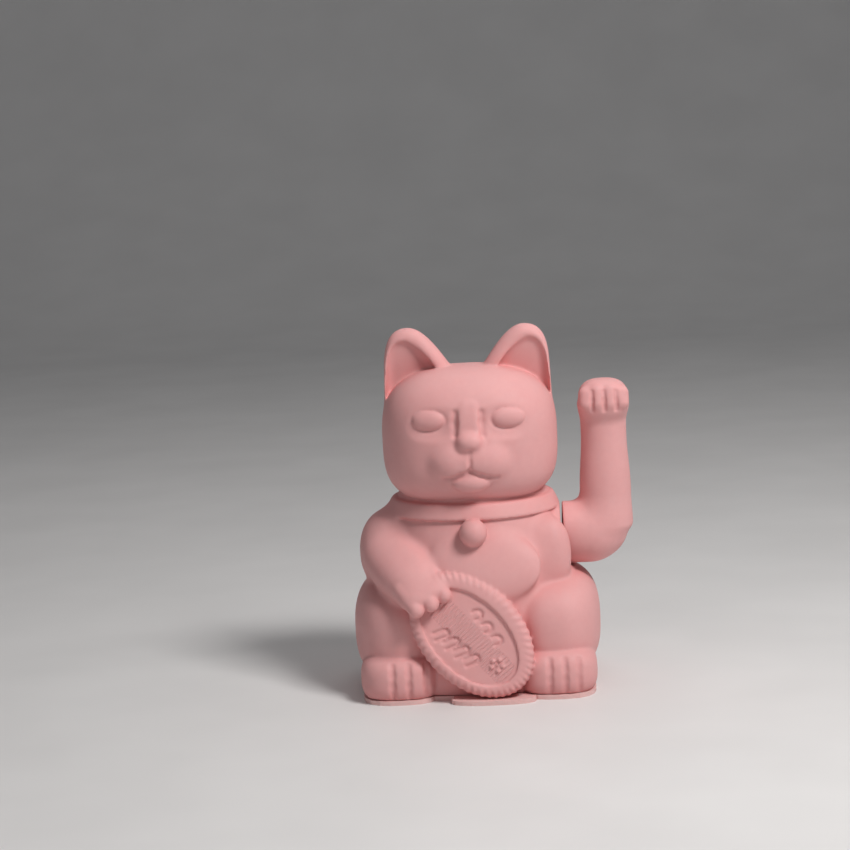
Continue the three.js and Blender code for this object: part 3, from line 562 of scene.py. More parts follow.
@dataclass
class CoinPlate(Shape):
    """An oval coin with a raised rim, whose edge is milled with soft teeth.

    Attributes:
        long_half: Half of its length.
        wide_half: Half of its width.
        thick: Its thickness at the rim.
        rim: Width of the rim.
        recess: How deep the field lies under the rim.
        at: Its middle.
        turn: Its axes, as the columns of a matrix: width, length and front.
        teeth: Number of teeth round the edge.
        bite: How deep the teeth are cut.
        aside: How far the field lies to one side of the middle, along its width.
    """

    long_half: float
    wide_half: float
    thick: float
    rim: float
    recess: float
    at: Triple
    turn: np.ndarray
    teeth: int
    bite: float
    aside: float = 0.0

    def __post_init__(self) -> None:
        """Work out the box that holds the coin."""
        reach = np.abs(self.turn) @ np.array([self.wide_half, self.long_half, self.thick / 2])
        self.low, self.high = np.array(self.at) - reach, np.array(self.at) + reach

    def oval(self, u: Points, v: Points, less: float) -> Points:
        """Distances in the coin's plane to its outline, drawn in by less.

        Args:
            u: Places across the coin.
            v: Places along it.
            less: How far the outline is drawn in.

        Returns:
            The distances, negative inside.
        """
        a, b = self.wide_half - less, self.long_half - less
        gauge = np.sqrt((u / a) ** 2 + (v / b) ** 2) + 1e-6
        return (gauge - 1) * gauge / np.sqrt((u / a ** 2) ** 2 + (v / b ** 2) ** 2 + 1e-9)

    def distance(self, p: Points) -> Points:
        """Distances from points to the surface, negative inside."""
        q = (p - np.array(self.at, np.float32)) @ self.turn.astype(np.float32)
        u, v, w = q[:, 0], q[:, 1], q[:, 2]
        around = np.arctan2(v / self.long_half, u / self.wide_half)
        tooth = self.bite * (0.5 + 0.5 * np.cos(self.teeth * around))
        near_edge = rise(self.oval(u, v, 0.0), -5.2, -1.4)
        plate = rounded_corner(self.oval(u, v, 0.0), np.abs(w) - self.thick / 2, 3.4) + tooth * near_edge
        sunk = rounded_corner(self.oval(u - self.aside, v, self.rim), self.thick / 2 - self.recess - w, 0.3)
        return -smooth_min(-plate, sunk, 0.9)


# ---------------------------------------------------------------- meshes


class Cut(Enum):
    """How one mesh works on another."""

    LESS = "DIFFERENCE"
    WITH = "UNION"
    INSIDE = "INTERSECT"


def mesh_object(name: str, points: Points, faces: Points) -> bpy.types.Object:
    """Make an object from points in millimetres.

    Args:
        name: Name of the object.
        points: Corner points.
        faces: Rows of three or four corner numbers.

    Returns:
        The new object, linked to the scene.
    """
    mesh = bpy.data.meshes.new(name)
    mesh.vertices.add(len(points))
    mesh.vertices.foreach_set("co", (np.asarray(points, np.float32) * MM).ravel())
    mesh.loops.add(faces.size)
    mesh.loops.foreach_set("vertex_index", faces.astype(np.int32).ravel())
    mesh.polygons.add(len(faces))
    mesh.polygons.foreach_set("loop_start", np.arange(len(faces), dtype=np.int32) * faces.shape[1])
    mesh.update(calc_edges=True)
    made = bpy.data.objects.new(name, mesh)
    bpy.context.scene.collection.objects.link(made)
    return made


def from_bmesh(name: str, work: bmesh.types.BMesh) -> bpy.types.Object:
    """Turn a bmesh in millimetres into a linked object and free it.

    Args:
        name: Name of the object.
        work: The bmesh, which is used up.

    Returns:
        The new object.
    """
    bmesh.ops.scale(work, vec=(MM, MM, MM), verts=work.verts)
    mesh = bpy.data.meshes.new(name)
    work.to_mesh(mesh)
    work.free()
    made = bpy.data.objects.new(name, mesh)
    bpy.context.scene.collection.objects.link(made)
    return made


def block(low: Sequence[float], high: Sequence[float]) -> bpy.types.Object:
    """A box tool between two corners.

    Args:
        low: Its lowest corner.
        high: Its highest corner.

    Returns:
        The tool.
    """
    work = bmesh.new()
    size = [h - l for l, h in zip(low, high)]
    middle = [(h + l) / 2 for l, h in zip(low, high)]
    bmesh.ops.create_cube(work, size=1.0, matrix=Matrix.Translation(middle) @ Matrix.Diagonal((*size, 1)))
    return from_bmesh("tool", work)


def pin(axis: int, r: float, start: float, end: float, at: tuple[float, float]) -> bpy.types.Object:
    """A round bar tool.

    Args:
        axis: Number of the axis that it lies along.
        r: Its radius.
        start: Where it starts along the axis.
        end: Where it ends.
        at: Its place on the two other axes.

    Returns:
        The tool.
    """
    turn = (Matrix.Rotation(math.pi / 2, 4, "Y"), Matrix.Rotation(-math.pi / 2, 4, "X"), Matrix())[axis]
    place = list(at)
    place.insert(axis, (start + end) / 2)
    work = bmesh.new()
    bmesh.ops.create_cone(work, cap_ends=True, segments=32, radius1=r, radius2=r, depth=end - start,
                          matrix=Matrix.Translation(place) @ turn)
    return from_bmesh("tool", work)


def work_on(target: bpy.types.Object, cut: Cut, *tools: bpy.types.Object) -> bpy.types.Object:
    """Cut or join a mesh with tools, which are used up.

    Args:
        target: The mesh that is changed.
        cut: What is done.
        tools: The tools, used one after another.

    Returns:
        The changed target.
    """
    for tool in tools:
        modifier = target.modifiers.new("work", "BOOLEAN")
        modifier.solver = "MANIFOLD"
        modifier.operation = cut.value
        modifier.object = tool
        ready = target.evaluated_get(bpy.context.evaluated_depsgraph_get())
        mesh = bpy.data.meshes.new_from_object(ready)
        target.modifiers.clear()
        target.data = mesh
        bpy.data.objects.remove(tool)
    return target


def largest_piece(points: Points, faces: Points) -> tuple[Points, Points]:
    """Keep only the largest connected part of a surface.

    Args:
        points: Corner points.
        faces: Rows of corner numbers.

    Returns:
        The points and faces that are kept.
    """
    label = np.arange(len(points))
    while True:
        lowest = label[faces].min(1)
        before = label.copy()
        np.minimum.at(label, faces.ravel(), np.repeat(lowest, faces.shape[1]))
        label = label[label]
        if np.array_equal(before, label):
            break
    groups, counts = np.unique(label[faces[:, 0]], return_counts=True)
    kept = faces[label[faces[:, 0]] == groups[np.argmax(counts)]]
    used, numbers = np.unique(kept, return_inverse=True)
    return points[used], numbers.reshape(kept.shape)


def finish_surface(target: bpy.types.Object, crease_deg: float = 38.0) -> None:
    """Shade a mesh smoothly, apart from its sharp edges.

    Args:
        target: The object whose mesh is shaded.
        crease_deg: Angle from which an edge stays sharp.
    """
    mesh = target.data
    mesh.polygons.foreach_set("use_smooth", np.ones(len(mesh.polygons), bool))
    mesh.set_sharp_from_angle(angle=math.radians(crease_deg))
    mesh.update()


# ---------------------------------------------------------------- the sculpted body


def coin_axes(lean_deg: float, turn_deg: float) -> np.ndarray:
    """Axes of a coin that leans back and is turned in its own plane.

    Args:
        lean_deg: How far its front looks upwards.
        turn_deg: How far its length is turned from upright.

    Returns:
        A matrix whose columns are its width, its length and its front.
    """
    lean = Matrix.Rotation(math.radians(90 - lean_deg), 3, "X")
    return np.array(lean @ Matrix.Rotation(math.radians(turn_deg), 3, "Z"))


def limb_axes(way: Sequence[float], facing: Sequence[float]) -> np.ndarray:
    """Axes of a limb, as columns: along it, across it and out of its back.

    Args:
        way: Direction along the limb.
        facing: Direction that its back roughly faces.

    Returns:
        The matrix of the three axes.
    """
    along = Vector(way).normalized()
    across = Vector(facing).cross(along).normalized()
    return np.array([along, across, along.cross(across)]).T


@dataclass
class Torso:
    """The seated trunk with its collar, bell and chest."""

    stations: Sequence[tuple[float, float]] = ((41, 2.1), (45, 28), (39.8, 55), (33, 77), (27, 88))
    depth: float = 0.86
    middle_y: float = 2.0
    rump: Triple = (44, 38.5, 22)
    rump_z: float = 11
    bib: Triple = (23, 5.5, 13.5)
    bib_at: Triple = (4, -29.6, 53.5)
    bib_lean_deg: float = -17
    flank: Triple = (9.6, 9, 16)
    flank_at: Triple = (30.3, -15.6, 55.5)
    collar: tuple[float, float] = (73.2, 79.8)
    collar_proud: float = 1.9
    bell_r: float = 5.7
    bell_z: float = 68.9
    seat_r: float = 13.0
    seat_x: float = 36.2
    pivot_z: float = 61.5
    pocket_r: float = 14.3

    def form(self) -> Turned:
        """The turned form of the trunk."""
        return Turned(self.stations, self.depth, (0, self.middle_y))

    def trunk(self, clay: Clay) -> None:
        """Work the trunk, the rump, the chest and the arm's seat."""
        clay.join(self.form(), 0)
        clay.join(Rounded(self.rump, (0, self.middle_y, self.rump_z), 3, 2.6), 5)
        lean = np.array(Matrix.Rotation(math.radians(self.bib_lean_deg), 3, "X"))
        clay.join(Rounded(self.bib, self.bib_at, 2.2, 2.2, lean), 5)
        clay.join(Rounded(self.flank, self.flank_at, 2.2, 2.2), 4.5)
        inner = self.seat_x - self.seat_r
        clay.join(Disc(0, self.seat_r, inner, self.seat_x, (0, 0, self.pivot_z), 0.8), 2.5)

    def dressing(self, clay: Clay) -> None:
        """Work the collar and the bell."""
        clay.join(Band(self.form(), *self.collar, self.collar_proud, 1.1), 0.7)
        wide = float(self.form().width_at(self.bell_z))
        front = self.middle_y - wide * self.depth - self.bell_r * 0.5
        bell = (0.0, front, self.bell_z)
        clay.join(Rounded((self.bell_r,) * 3, bell), 0.6)

    def pocket(self, clay: Clay) -> None:
        """Clear the round pocket that the raised arm turns in."""
        clay.carve(Disc(0, self.pocket_r, self.seat_x, 90, (0, 0, self.pivot_z), 0.3), 0.4)


@dataclass
class Head:
    """The broad head with its ears and sleepy face."""

    size: Triple = (36.3, 30.5, 28)
    at: Triple = (0, -1, 106)
    ear_tip: tuple[float, float] = (24, 150)
    ear_inner: float = 6.0
    ear_outer: float = 35.4
    ear_half: float = 7.0
    eye: Triple = (7.1, 3.0, 4.4)
    lid: Triple = (8.1, 1.8, 5.3)
    eye_x: float = 16.0
    eye_z: float = 115.0
    socket: Triple = (12.0, 3.6, 7.4)
    socket_z: float = 114.4
    muzzle: Triple = (8.8, 5.4, 6.8)
    chin: Triple = (8.2, 4.6, 4.5)
    bridge: Triple = (5.2, 3.6, 12.0)
    nose: Triple = (5.3, 5.0, 3.9)
    plan: float = 2.6
    jaw: float = 3.6
    crown: float = 2.7

    def ear_outline(self, side: int) -> Points:
        """The ear's outline from its inner foot over the tip to its outer foot.

        Args:
            side: -1 for the ear at the left, 1 for the one at the right.

        Returns:
            Corners of the outline, as places across and heights.
        """
        tip_x, tip_z = self.ear_tip
        inner, outer, foot = self.ear_inner, self.ear_outer, self.at[2]
        rise_from, fall_to = (inner, foot + self.size[2] - 1.5), (outer - 1.2, tip_z - 15)
        up = bezier(rise_from, (inner + 4.5, tip_z - 11), (tip_x - 7, tip_z), self.ear_tip, 12)
        down = bezier(self.ear_tip, (tip_x + 8, tip_z), (outer - 1.5, tip_z - 7), fall_to, 12)
        corners = np.array([(inner, foot), rise_from, *up, *down, (outer, foot)], float)
        return corners * (side, 1)

    def ears(self, clay: Clay) -> None:
        """Work two upright ears, each scooped out towards its outer edge."""
        for side in (-1, 1):
            outline = self.ear_outline(side)
            clay.join(Leaf(outline, 0.0, self.ear_half, 4.6, 4.0), 0)
            scooped = outline + (side * 1.9, -1.6)
            clay.carve(Leaf(scooped, -13.5, 13.0, 10.2, 3.6, 2.7), 1.2)

    def skull(self, clay: Clay) -> None:
        """Work the head's own form."""
        clay.join(Rounded(self.size, self.at, self.plan, self.jaw, crown=self.crown), 1.0)

    def front(self, x: float, z: float) -> float:
        """Where the bare head's surface lies in front of a place of the face.

        Args:
            x: Place across.
            z: Height.

        Returns:
            The y of the surface.
        """
        side = self.crown if z > self.at[2] else self.jaw
        level = 1 - (abs(z - self.at[2]) / self.size[2]) ** side
        wide = level ** (self.plan / side) - (abs(x) / self.size[0]) ** self.plan
        return self.at[1] - self.size[1] * wide ** (1 / self.plan)

    def lump(self, clay: Clay, size: Triple, x: float, z: float, sunk: float, blend: float,
             plan: float = 2.0, side: float = 2.0) -> None:
        """Add one feature half sunk in the face.

        Args:
            clay: What it is added to.
            size: Its half sizes.
            x: Its place across.
            z: Its height.
            sunk: How far its middle lies behind the surface.
            blend: Width of its crease.
            plan: Squareness of its level outline.
            side: Squareness of its upright outline.
        """
        clay.join(Rounded(size, (x, self.front(x, z) + sunk, z), plan, side), blend)

    def face(self, clay: Clay) -> None:
        """Work muzzle, chin, brows, nose, eyes and mouth."""
        for side in (-1, 1):
            self.lump(clay, self.muzzle, side * 6.0, 97.6, 2.2, 4.6)
        self.lump(clay, self.chin, 0.0, 89.6, 1.0, 0.6)
        bare = self.front(self.eye_x, self.eye_z)
        for side in (-1, 1):
            at = (side * self.eye_x, bare - 2.2, self.socket_z)
            clay.carve(Rounded(self.socket, at, 2.8, 2.4, face_turn(side)), 2.0)
        tilt = np.array(Matrix.Rotation(math.radians(-6), 3, "X"))
        at = (0.4, self.front(0, 112) + 2.9, 110.5)
        clay.join(Rounded(self.bridge, at, 3.4, 2.4, tilt), 1.6)
        self.lump(clay, self.nose, 0.1, 106.1, 0.6, 2.2, 2.4, 2.2)
        for side in (-1, 1):
            clay.groove([(side * 5.3, 118.0), (side * 5.5, 114.0), (side * 5.7, 109.0)], 0.8, 1.8)
        for side in (-1, 1):
            x, turn = side * self.eye_x, face_turn(side)
            clay.carve(Rounded(self.lid, (x, bare + 0.5, self.eye_z), 2.2, 2.0, turn), 0.5)
            clay.join(Rounded(self.eye, (x, bare + 2.5, self.eye_z), 2.2, 2.0, turn), 0.2)
        clay.groove([(0, 102.6), (0, 98.5), (0, 94.2)], 0.7, 0.7, -0.15)
        mouth = [(-10.6, 91.2), (-7.4, 91.4), (-4, 92.6), (0, 94.4), (4, 92.6), (7.6, 91.4), (11.0, 91.2)]
        clay.groove(mouth, 0.85, 1.2)


def face_turn(side: int) -> np.ndarray:
    """Axes of a feature that follows the face round to one side."""
    return np.array(Matrix.Rotation(side * math.radians(9), 3, "Z"))


@dataclass
class Limbs:
    """Haunches, hind feet and the fore leg that holds the coin."""

    haunch: Triple = (20.5, 36, 22)
    haunch_at: Triple = (31, -0.5, 26)
    foot: Triple = (16.5, 17, 11)
    foot_at: Triple = (32.3, -24.5, 9.3)
    toes: dict[int, Sequence[float]] = field(default_factory=lambda: {
        -1: (-35.2, -28.6, -21.6), 1: (29, 35.2, 41)})
    shoulder: Triple = (15, 16.5, 18)
    shoulder_at: Triple = (-33, -3, 57.5)
    forearm: Triple = (21, 12.6, 10.4)
    forearm_from: Triple = (-38, -9, 60.5)
    forearm_to: Triple = (-20.5, -38.5, 45.0)
    hand: Triple = (10, 10.6, 5.5)

    def hind(self, clay: Clay) -> None:
        """Work the haunches and the feet with their toes."""
        for side in (-1, 1):
            x, y, z = self.haunch_at
            clay.join(Rounded(self.haunch, (side * x, y, z), 2.5, 2.8), 1.6)
        for side in (-1, 1):
            x, y, z = self.foot_at
            clay.join(Rounded(self.foot, (side * x, y, z), 2.8, 3.0), 0.8)
            for toe in self.toes[side]:
                clay.groove([(toe, 3.0), (toe, 8.0), (toe, 12.5), (toe, 16.5)], 0.85, 1.4, -0.15)

    def fore(self, clay: Clay) -> None:
        """Work the shoulder and the fore leg."""
        clay.join(Rounded(self.shoulder, self.shoulder_at, 2.2, 2.2), 4.0)
        clay.join(Rounded(self.forearm, self.along(0.44), 2.4, 2.2, self.axes()), 3.0)

    def paw(self, clay: Clay) -> None:
        """Work the hand on the coin, with three fingers."""
        clay.join(Rounded(self.hand, self.along(0.86), 3.0, 2.4, self.axes()), 2.2)
        along, across, out = self.axes().T
        tip = np.array(self.along(0.86)) + along * self.hand[0] * 0.86
        for off in (-6.6, 0.0, 6.6):
            start = tip + across * off - along * 10.5 + out * 2.6
            end = tip + across * off * 0.97 + along * (0.4 if off else 1.4) - out * 1.2
            clay.join(Rod(tuple(start), tuple(end), 3.7, 3.3), 0.6)

    def axes(self) -> np.ndarray:
        """Axes of the fore leg."""
        return limb_axes(np.subtract(self.forearm_to, self.forearm_from), (0.25, -1, 0.25))

    def along(self, share: float) -> Triple:
        """A place along the fore leg, from 0 at the shoulder to 1 at the fingertips."""
        way = np.subtract(self.forearm_to, self.forearm_from)
        return tuple(np.array(self.forearm_from) + way * share)


@dataclass
class Tail:
    """The tail that lies across the lower back."""

    r: float = 5.2
    route: Sequence[Triple] = ((20, 34, 9), (8, 38.5, 11), (-8, 39, 17), (-16, 35, 28))

    def work(self, clay: Clay) -> None:
        """Lay the tail on the back as a chain of short rods."""
        share = np.linspace(0, len(self.route) - 1, 13)
        knots = np.arange(len(self.route))
        spots = np.stack([smooth_through(knots, [p[i] for p in self.route], share) for i in range(3)], 1)
        chain = Clay()
        for a, b in zip(spots, spots[1:]):
            chain.join(Rod(tuple(a), tuple(b), self.r, self.r), 0)
        clay.join(Whole(chain), 1.4)


@dataclass
class Whole(Shape):
    """Another piece of clay, used as one shape."""

    clay: Clay

    def __post_init__(self) -> None:
        """Take over the box of the clay."""
        self.low, self.high = self.clay.box()

    def distance(self, p: Points) -> Points:
        """Distances from points to the surface, negative inside."""
        return self.clay.distance(p)


@dataclass
class Coin:
    """The oval coin that stands on the base and leans on the belly."""

    long_half: float = 30.0
    wide_half: float = 20.8
    thick: float = 8.4
    rim: float = 6.0
    recess: float = 1.3
    at: Triple = (-2.3, -37.2, 27.8)
    lean_deg: float = 8.5
    turn_deg: float = 42.0
    teeth: int = 52
    aside: float = -1.2

    def axes(self) -> np.ndarray:
        """Its width, length and front, as columns."""
        return coin_axes(self.lean_deg, self.turn_deg)

    def on_field(self, u: float, v: float, w: float = 0.0) -> Triple:
        """A place on its sunk face, or w above it."""
        local = np.array([u, v, self.thick / 2 - self.recess + w])
        return tuple(np.array(self.at) + self.axes() @ local)

    def work(self, clay: Clay) -> None:
        """Work the coin and the marks on its face."""
        clay.join(CoinPlate(self.long_half, self.wide_half, self.thick, self.rim, self.recess, self.at,
                            self.axes(), self.teeth, 0.5, self.aside), 0.5)
        for i, v in enumerate((9.0, 3.6, -1.8, -7.2)):
            self.arch(clay, self.aside - 8.2 + 0.5 * i, v, 1.5, 4.6)
        for i, v in enumerate((4.5, -2.0, -8.5)):
            self.arch(clay, self.aside + 8.0 - 0.8 * i, v, 1.8, 1.6)
        self.blossom(clay, self.aside, -16.0)

    def arch(self, clay: Clay, u: float, v: float, r: float, leg: float) -> None:
        """Carve one small arch with straight legs, laid nearly level.

        Args:
            clay: What it is carved in.
            u: Its place across the coin.
            v: Its place along the coin.
            r: Radius of its bend.
            leg: Length of its legs.
        """
        turns = [math.pi * i / 4 for i in range(5)]
        bend = [(leg / 2 + r * math.sin(t), r * math.cos(t)) for t in turns]
        level = math.radians(-24)
        c, d = math.cos(level), math.sin(level)
        plain = [(-leg / 2, r), *bend, (-leg / 2, -r)]
        path = [(u + a * c - b * d, v + a * d + b * c) for a, b in plain]
        for a, b in zip(path, path[1:]):
            clay.carve(Rod(self.on_field(*a), self.on_field(*b), 0.75, 0.75), 0.3)

    def blossom(self, clay: Clay, u: float, v: float) -> None:
        """Raise five petals round a dot.

        Args:
            clay: What they are added to.
            u: Their place across the coin.
            v: Their place along the coin.
        """
        for i in range(5):
            angle = 2 * math.pi * i / 5 + math.pi / 2
            spot = self.on_field(u + 2.3 * math.cos(angle), v + 2.3 * math.sin(angle), -0.2)
            clay.join(Rod(spot, tuple(np.array(spot) + TINY), 1.15, 1.15), 0.3)
        centre = self.on_field(u, v, -0.1)
        clay.join(Rod(centre, tuple(np.array(centre) + TINY), 0.8, 0.8), 0.2)


@dataclass
class RaisedArm:
    """The raised arm: elbow, fore leg and a paw whose fingers bend forward."""

    pivot_z: float = 61.5
    face_x: float = 37.0
    elbow_r: float = 13.0
    elbow_length: float = 26.0
    elbow_straight: float = 11.0
    fore_x: float = 55.6
    fore_depth: float = 0.92
    fore: Sequence[tuple[float, float]] = ((10.2, 64), (10.7, 80), (9.5, 101), (9.7, 116))
    paw: Triple = (10.4, 9.8, 8.8)
    paw_at: Triple = (55.9, -1.8, 117.2)
    wall: float = 1.7
    sleeve_r: float = 3.6
    voxel: float = 0.4
    room_voxel: float = 0.8

    def sculpt(self) -> Clay:
        """Work the whole arm in clay."""
        clay = Clay()
        middle = self.face_x + self.elbow_straight
        dome = (self.elbow_length - self.elbow_straight, self.elbow_r, self.elbow_r)
        clay.join(Disc(0, self.elbow_r, self.face_x, middle, (0, 0, self.pivot_z), 0.7), 0)
        clay.join(Rounded(dome, (middle, 0, self.pivot_z)), 0)
        clay.carve(Disc(0, 20, self.face_x - 12, self.face_x, (0, 0, self.pivot_z), 0.3), 0.8)
        clay.join(Rounded((9.8, 9.6, 12), (self.fore_x - 0.6, 0, self.pivot_z + 4)), 3)
        clay.join(Turned(self.fore, self.fore_depth, (self.fore_x, 0)), 5)
        clay.join(Rounded(self.paw, self.paw_at, 2.8, 2.6), 3.0)
        self.fingers(clay)
        return clay

    def fingers(self, clay: Clay) -> None:
        """Bend four fingers over the front of the paw."""
        x, y, z = self.paw_at
        for place, reach in ((-7.4, 0.0), (-2.6, 0.8), (2.6, 0.8), (7.4, 0.0)):
            side = x + place
            front = y - self.paw[1] + 2.9
            knuckle = (side, front + 1.4 - reach, z + 4.6 - abs(place) * 0.2)
            tip = (side, front + 0.4 - reach, z - 0.6)
            clay.join(Rod(knuckle, tip, 2.9, 2.9), 1.4)
        for place in (-5.0, 0.0, 5.0):
            clay.groove([(x + place, z + 4.4), (x + place, z + 1), (x + place, z - 3.4)], 0.65, 1.0, -0.2)

    def room(self, clay: Clay) -> bpy.types.Object:
        """The hollow inside the arm, with the hole for the axle's sleeve.

        Args:
            clay: The worked arm.

        Returns:
            The solid that is cut away.
        """
        points, faces = largest_piece(*clay.surface(self.room_voxel, -self.wall))
        sleeve = pin(0, self.sleeve_r, self.face_x - 1, self.face_x + 4, (0, self.pivot_z))
        return work_on(mesh_object("room", points, faces), Cut.WITH, sleeve)

    def build(self) -> list[bpy.types.Object]:
        """Make the two halves of the arm.

        Returns:
            The front half and the rear half.
        """
        clay = self.sculpt()
        points, faces = largest_piece(*clay.surface(self.voxel))
        halves = []
        for name, low_y, high_y in (("arm_shell_front", -FAR, -SEAM), ("arm_shell_rear", 0, FAR)):
            half = mesh_object(name, points, faces)
            work_on(half, Cut.INSIDE, block((0, low_y, 0), (90, high_y, 160)))
            work_on(half, Cut.LESS, self.room(clay))
            finish_surface(half)
            halves.append(half)
        return halves


@dataclass
class Shells:
    """The two hollow shells of the body, cut from one sculpted form."""

    torso: Torso = field(default_factory=Torso)
    head: Head = field(default_factory=Head)
    limbs: Limbs = field(default_factory=Limbs)
    tail: Tail = field(default_factory=Tail)
    coin: Coin = field(default_factory=Coin)
    wall: float = 2.2
    foot_z: float = 2.1
    front_voxel: float = 0.6
    rear_voxel: float = 0.75
    room_voxel: float = 1.1
    screws: Sequence[tuple[float, float]] = ((-37, -20), (37, -20), (-34, 19), (34, 19))
    pegs: Sequence[tuple[float, float]] = ((-47.7, 26), (47.7, 26), (-32.5, 106), (32.5, 106))
    posts: Sequence[float] = (12.5, 21.5)
    boss_r: float = 3.3
    boss_top: float = 13.1
    rib_half: float = 0.8
    peg_boss_r: float = 3.0
    peg_r: float = 1.1
    peg_hole_r: float = 1.25
    pilot_r: float = 1.55
    axle_hole_r: float = 4.3

    def hollow_form(self) -> Clay:
        """The clay without its small details."""
        clay = Clay()
        self.head.ears(clay)
        self.head.skull(clay)
        self.torso.trunk(clay)
        self.limbs.hind(clay)
        self.limbs.fore(clay)
        self.torso.pocket(clay)
        return clay

    def sculpt(self) -> Clay:
        """Work the whole body in clay."""
        clay = Clay()
        self.head.ears(clay)
        self.head.skull(clay)
        self.head.face(clay)
        body = Clay()
        self.torso.trunk(body)
        self.torso.dressing(body)
        self.limbs.hind(body)
        self.limbs.fore(body)
        self.tail.work(body)
        self.coin.work(body)
        self.limbs.paw(body)
        clay.steps += [Step(s.action, s.shape, s.blend) for s in body.steps]
        self.torso.pocket(clay)
        return clay

    def lugs(self, rear: bool) -> list[bpy.types.Object]:
        """Bosses and ribs that stand in the hollow.

        Args:
            rear: Whether they are the rear shell's.

        Returns:
            The solids, each reaching into the wall.
        """
        top, made = self.boss_top, []
        for x, y in (s for s in self.screws if (s[1] > 0) == rear):
            out = x + math.copysign(20, x)
            made.append(pin(2, self.boss_r, -20, top, (x, y)))
            low = (min(x, out), y - self.rib_half, -20)
            made.append(block(low, (max(x, out), y + self.rib_half, top - 0.4)))
        for at in self.pegs:
            made.append(pin(1, self.peg_boss_r, 0 if rear else -6, 6 if rear else 0, at))
        if rear:
            made += [pin(1, self.boss_r, 18.3, 50, (x, self.torso.pivot_z)) for x in self.posts]
        return made

    def holes(self, rear: bool) -> list[bpy.types.Object]:
        """Pilot holes, peg holes and the axle's hole.

        Args:
            rear: Whether they are the rear shell's.

        Returns:
            The tools that cut them.
        """
        low, pivot_z = self.foot_z - 1, self.torso.pivot_z
        made = [pin(2, self.pilot_r, low, 12.1, s) for s in self.screws if (s[1] > 0) == rear]
        made.append(pin(0, self.axle_hole_r, 29.6, self.torso.seat_x + 1, (0, pivot_z)))
        if rear:
            return made + [pin(1, self.pilot_r, 17.3, 22.8, (x, pivot_z)) for x in self.posts]
        return made + [pin(1, self.peg_hole_r, -3.6, 1, at) for at in self.pegs]

    def build(self) -> list[bpy.types.Object]:
        """Make the two shells.

        Returns:
            The front shell and the rear shell.
        """
        clay, form = self.sculpt(), self.hollow_form()
        room = largest_piece(*form.surface(self.room_voxel, -self.wall))
        made = []
        halves = (("shell_front", False, self.front_voxel, (-70, -SEAM)),
                  ("shell_rear", True, self.rear_voxel, (0, 70)))
        for name, rear, voxel, (low_y, high_y) in halves:
            half = mesh_object(name, *largest_piece(*clay.surface(voxel, 0.0, (low_y - 4, high_y + 4))))
            work_on(half, Cut.INSIDE, block((-90, low_y, self.foot_z), (90, high_y, 170)))
            hollow = work_on(mesh_object("room", *room), Cut.LESS, *self.lugs(rear))
            work_on(half, Cut.LESS, hollow)
            work_on(half, Cut.LESS, *self.holes(rear))
            if rear:
                work_on(half, Cut.WITH, *[pin(1, self.peg_r, -3, 1, at) for at in self.pegs])
            finish_surface(half)
            made.append(half)
            LOG.info("%s has %d faces", name, len(half.data.polygons))
        return made


# ---------------------------------------------------------------- finishes


Number = Union[float, "Wire"]


class Wire:
    """A shader value: an output socket on which sums can be written."""

    def __init__(self, shader: "Shader", socket: bpy.types.NodeSocket) -> None:
        """Hold a socket of a shader."""
        self.shader = shader
        self.socket = socket

    def maths(self, operation: str, first: Number, second: Number) -> "Wire":
        """Add one Math node."""
        return self.shader.node("ShaderNodeMath", {"operation": operation}, {0: first, 1: second})[0]

    def __add__(self, other: Number) -> "Wire":
        """Sum with another value."""
        return self.maths("ADD", self, other)

    __radd__ = __add__

    def __sub__(self, other: Number) -> "Wire":
        """Difference from another value."""
        return self.maths("SUBTRACT", self, other)

    def __rsub__(self, other: Number) -> "Wire":
        """Difference of another value from this one."""
        return self.maths("SUBTRACT", other, self)

    def __mul__(self, other: Number) -> "Wire":
        """Product with another value."""
        return self.maths("MULTIPLY", self, other)

    __rmul__ = __mul__

    def __lt__(self, other: Number) -> "Wire":
        """One where this value is the smaller, else nought."""
        return self.maths("LESS_THAN", self, other)

    def __gt__(self, other: Number) -> "Wire":
        """One where this value is the larger, else nought."""
        return self.maths("GREATER_THAN", self, other)

    def wave(self) -> "Wire":
        """Sine of the value."""
        return self.maths("SINE", self, 0.0)

    def size(self) -> "Wire":
        """The value without its sign."""
        return self.maths("ABSOLUTE", self, 0.0)


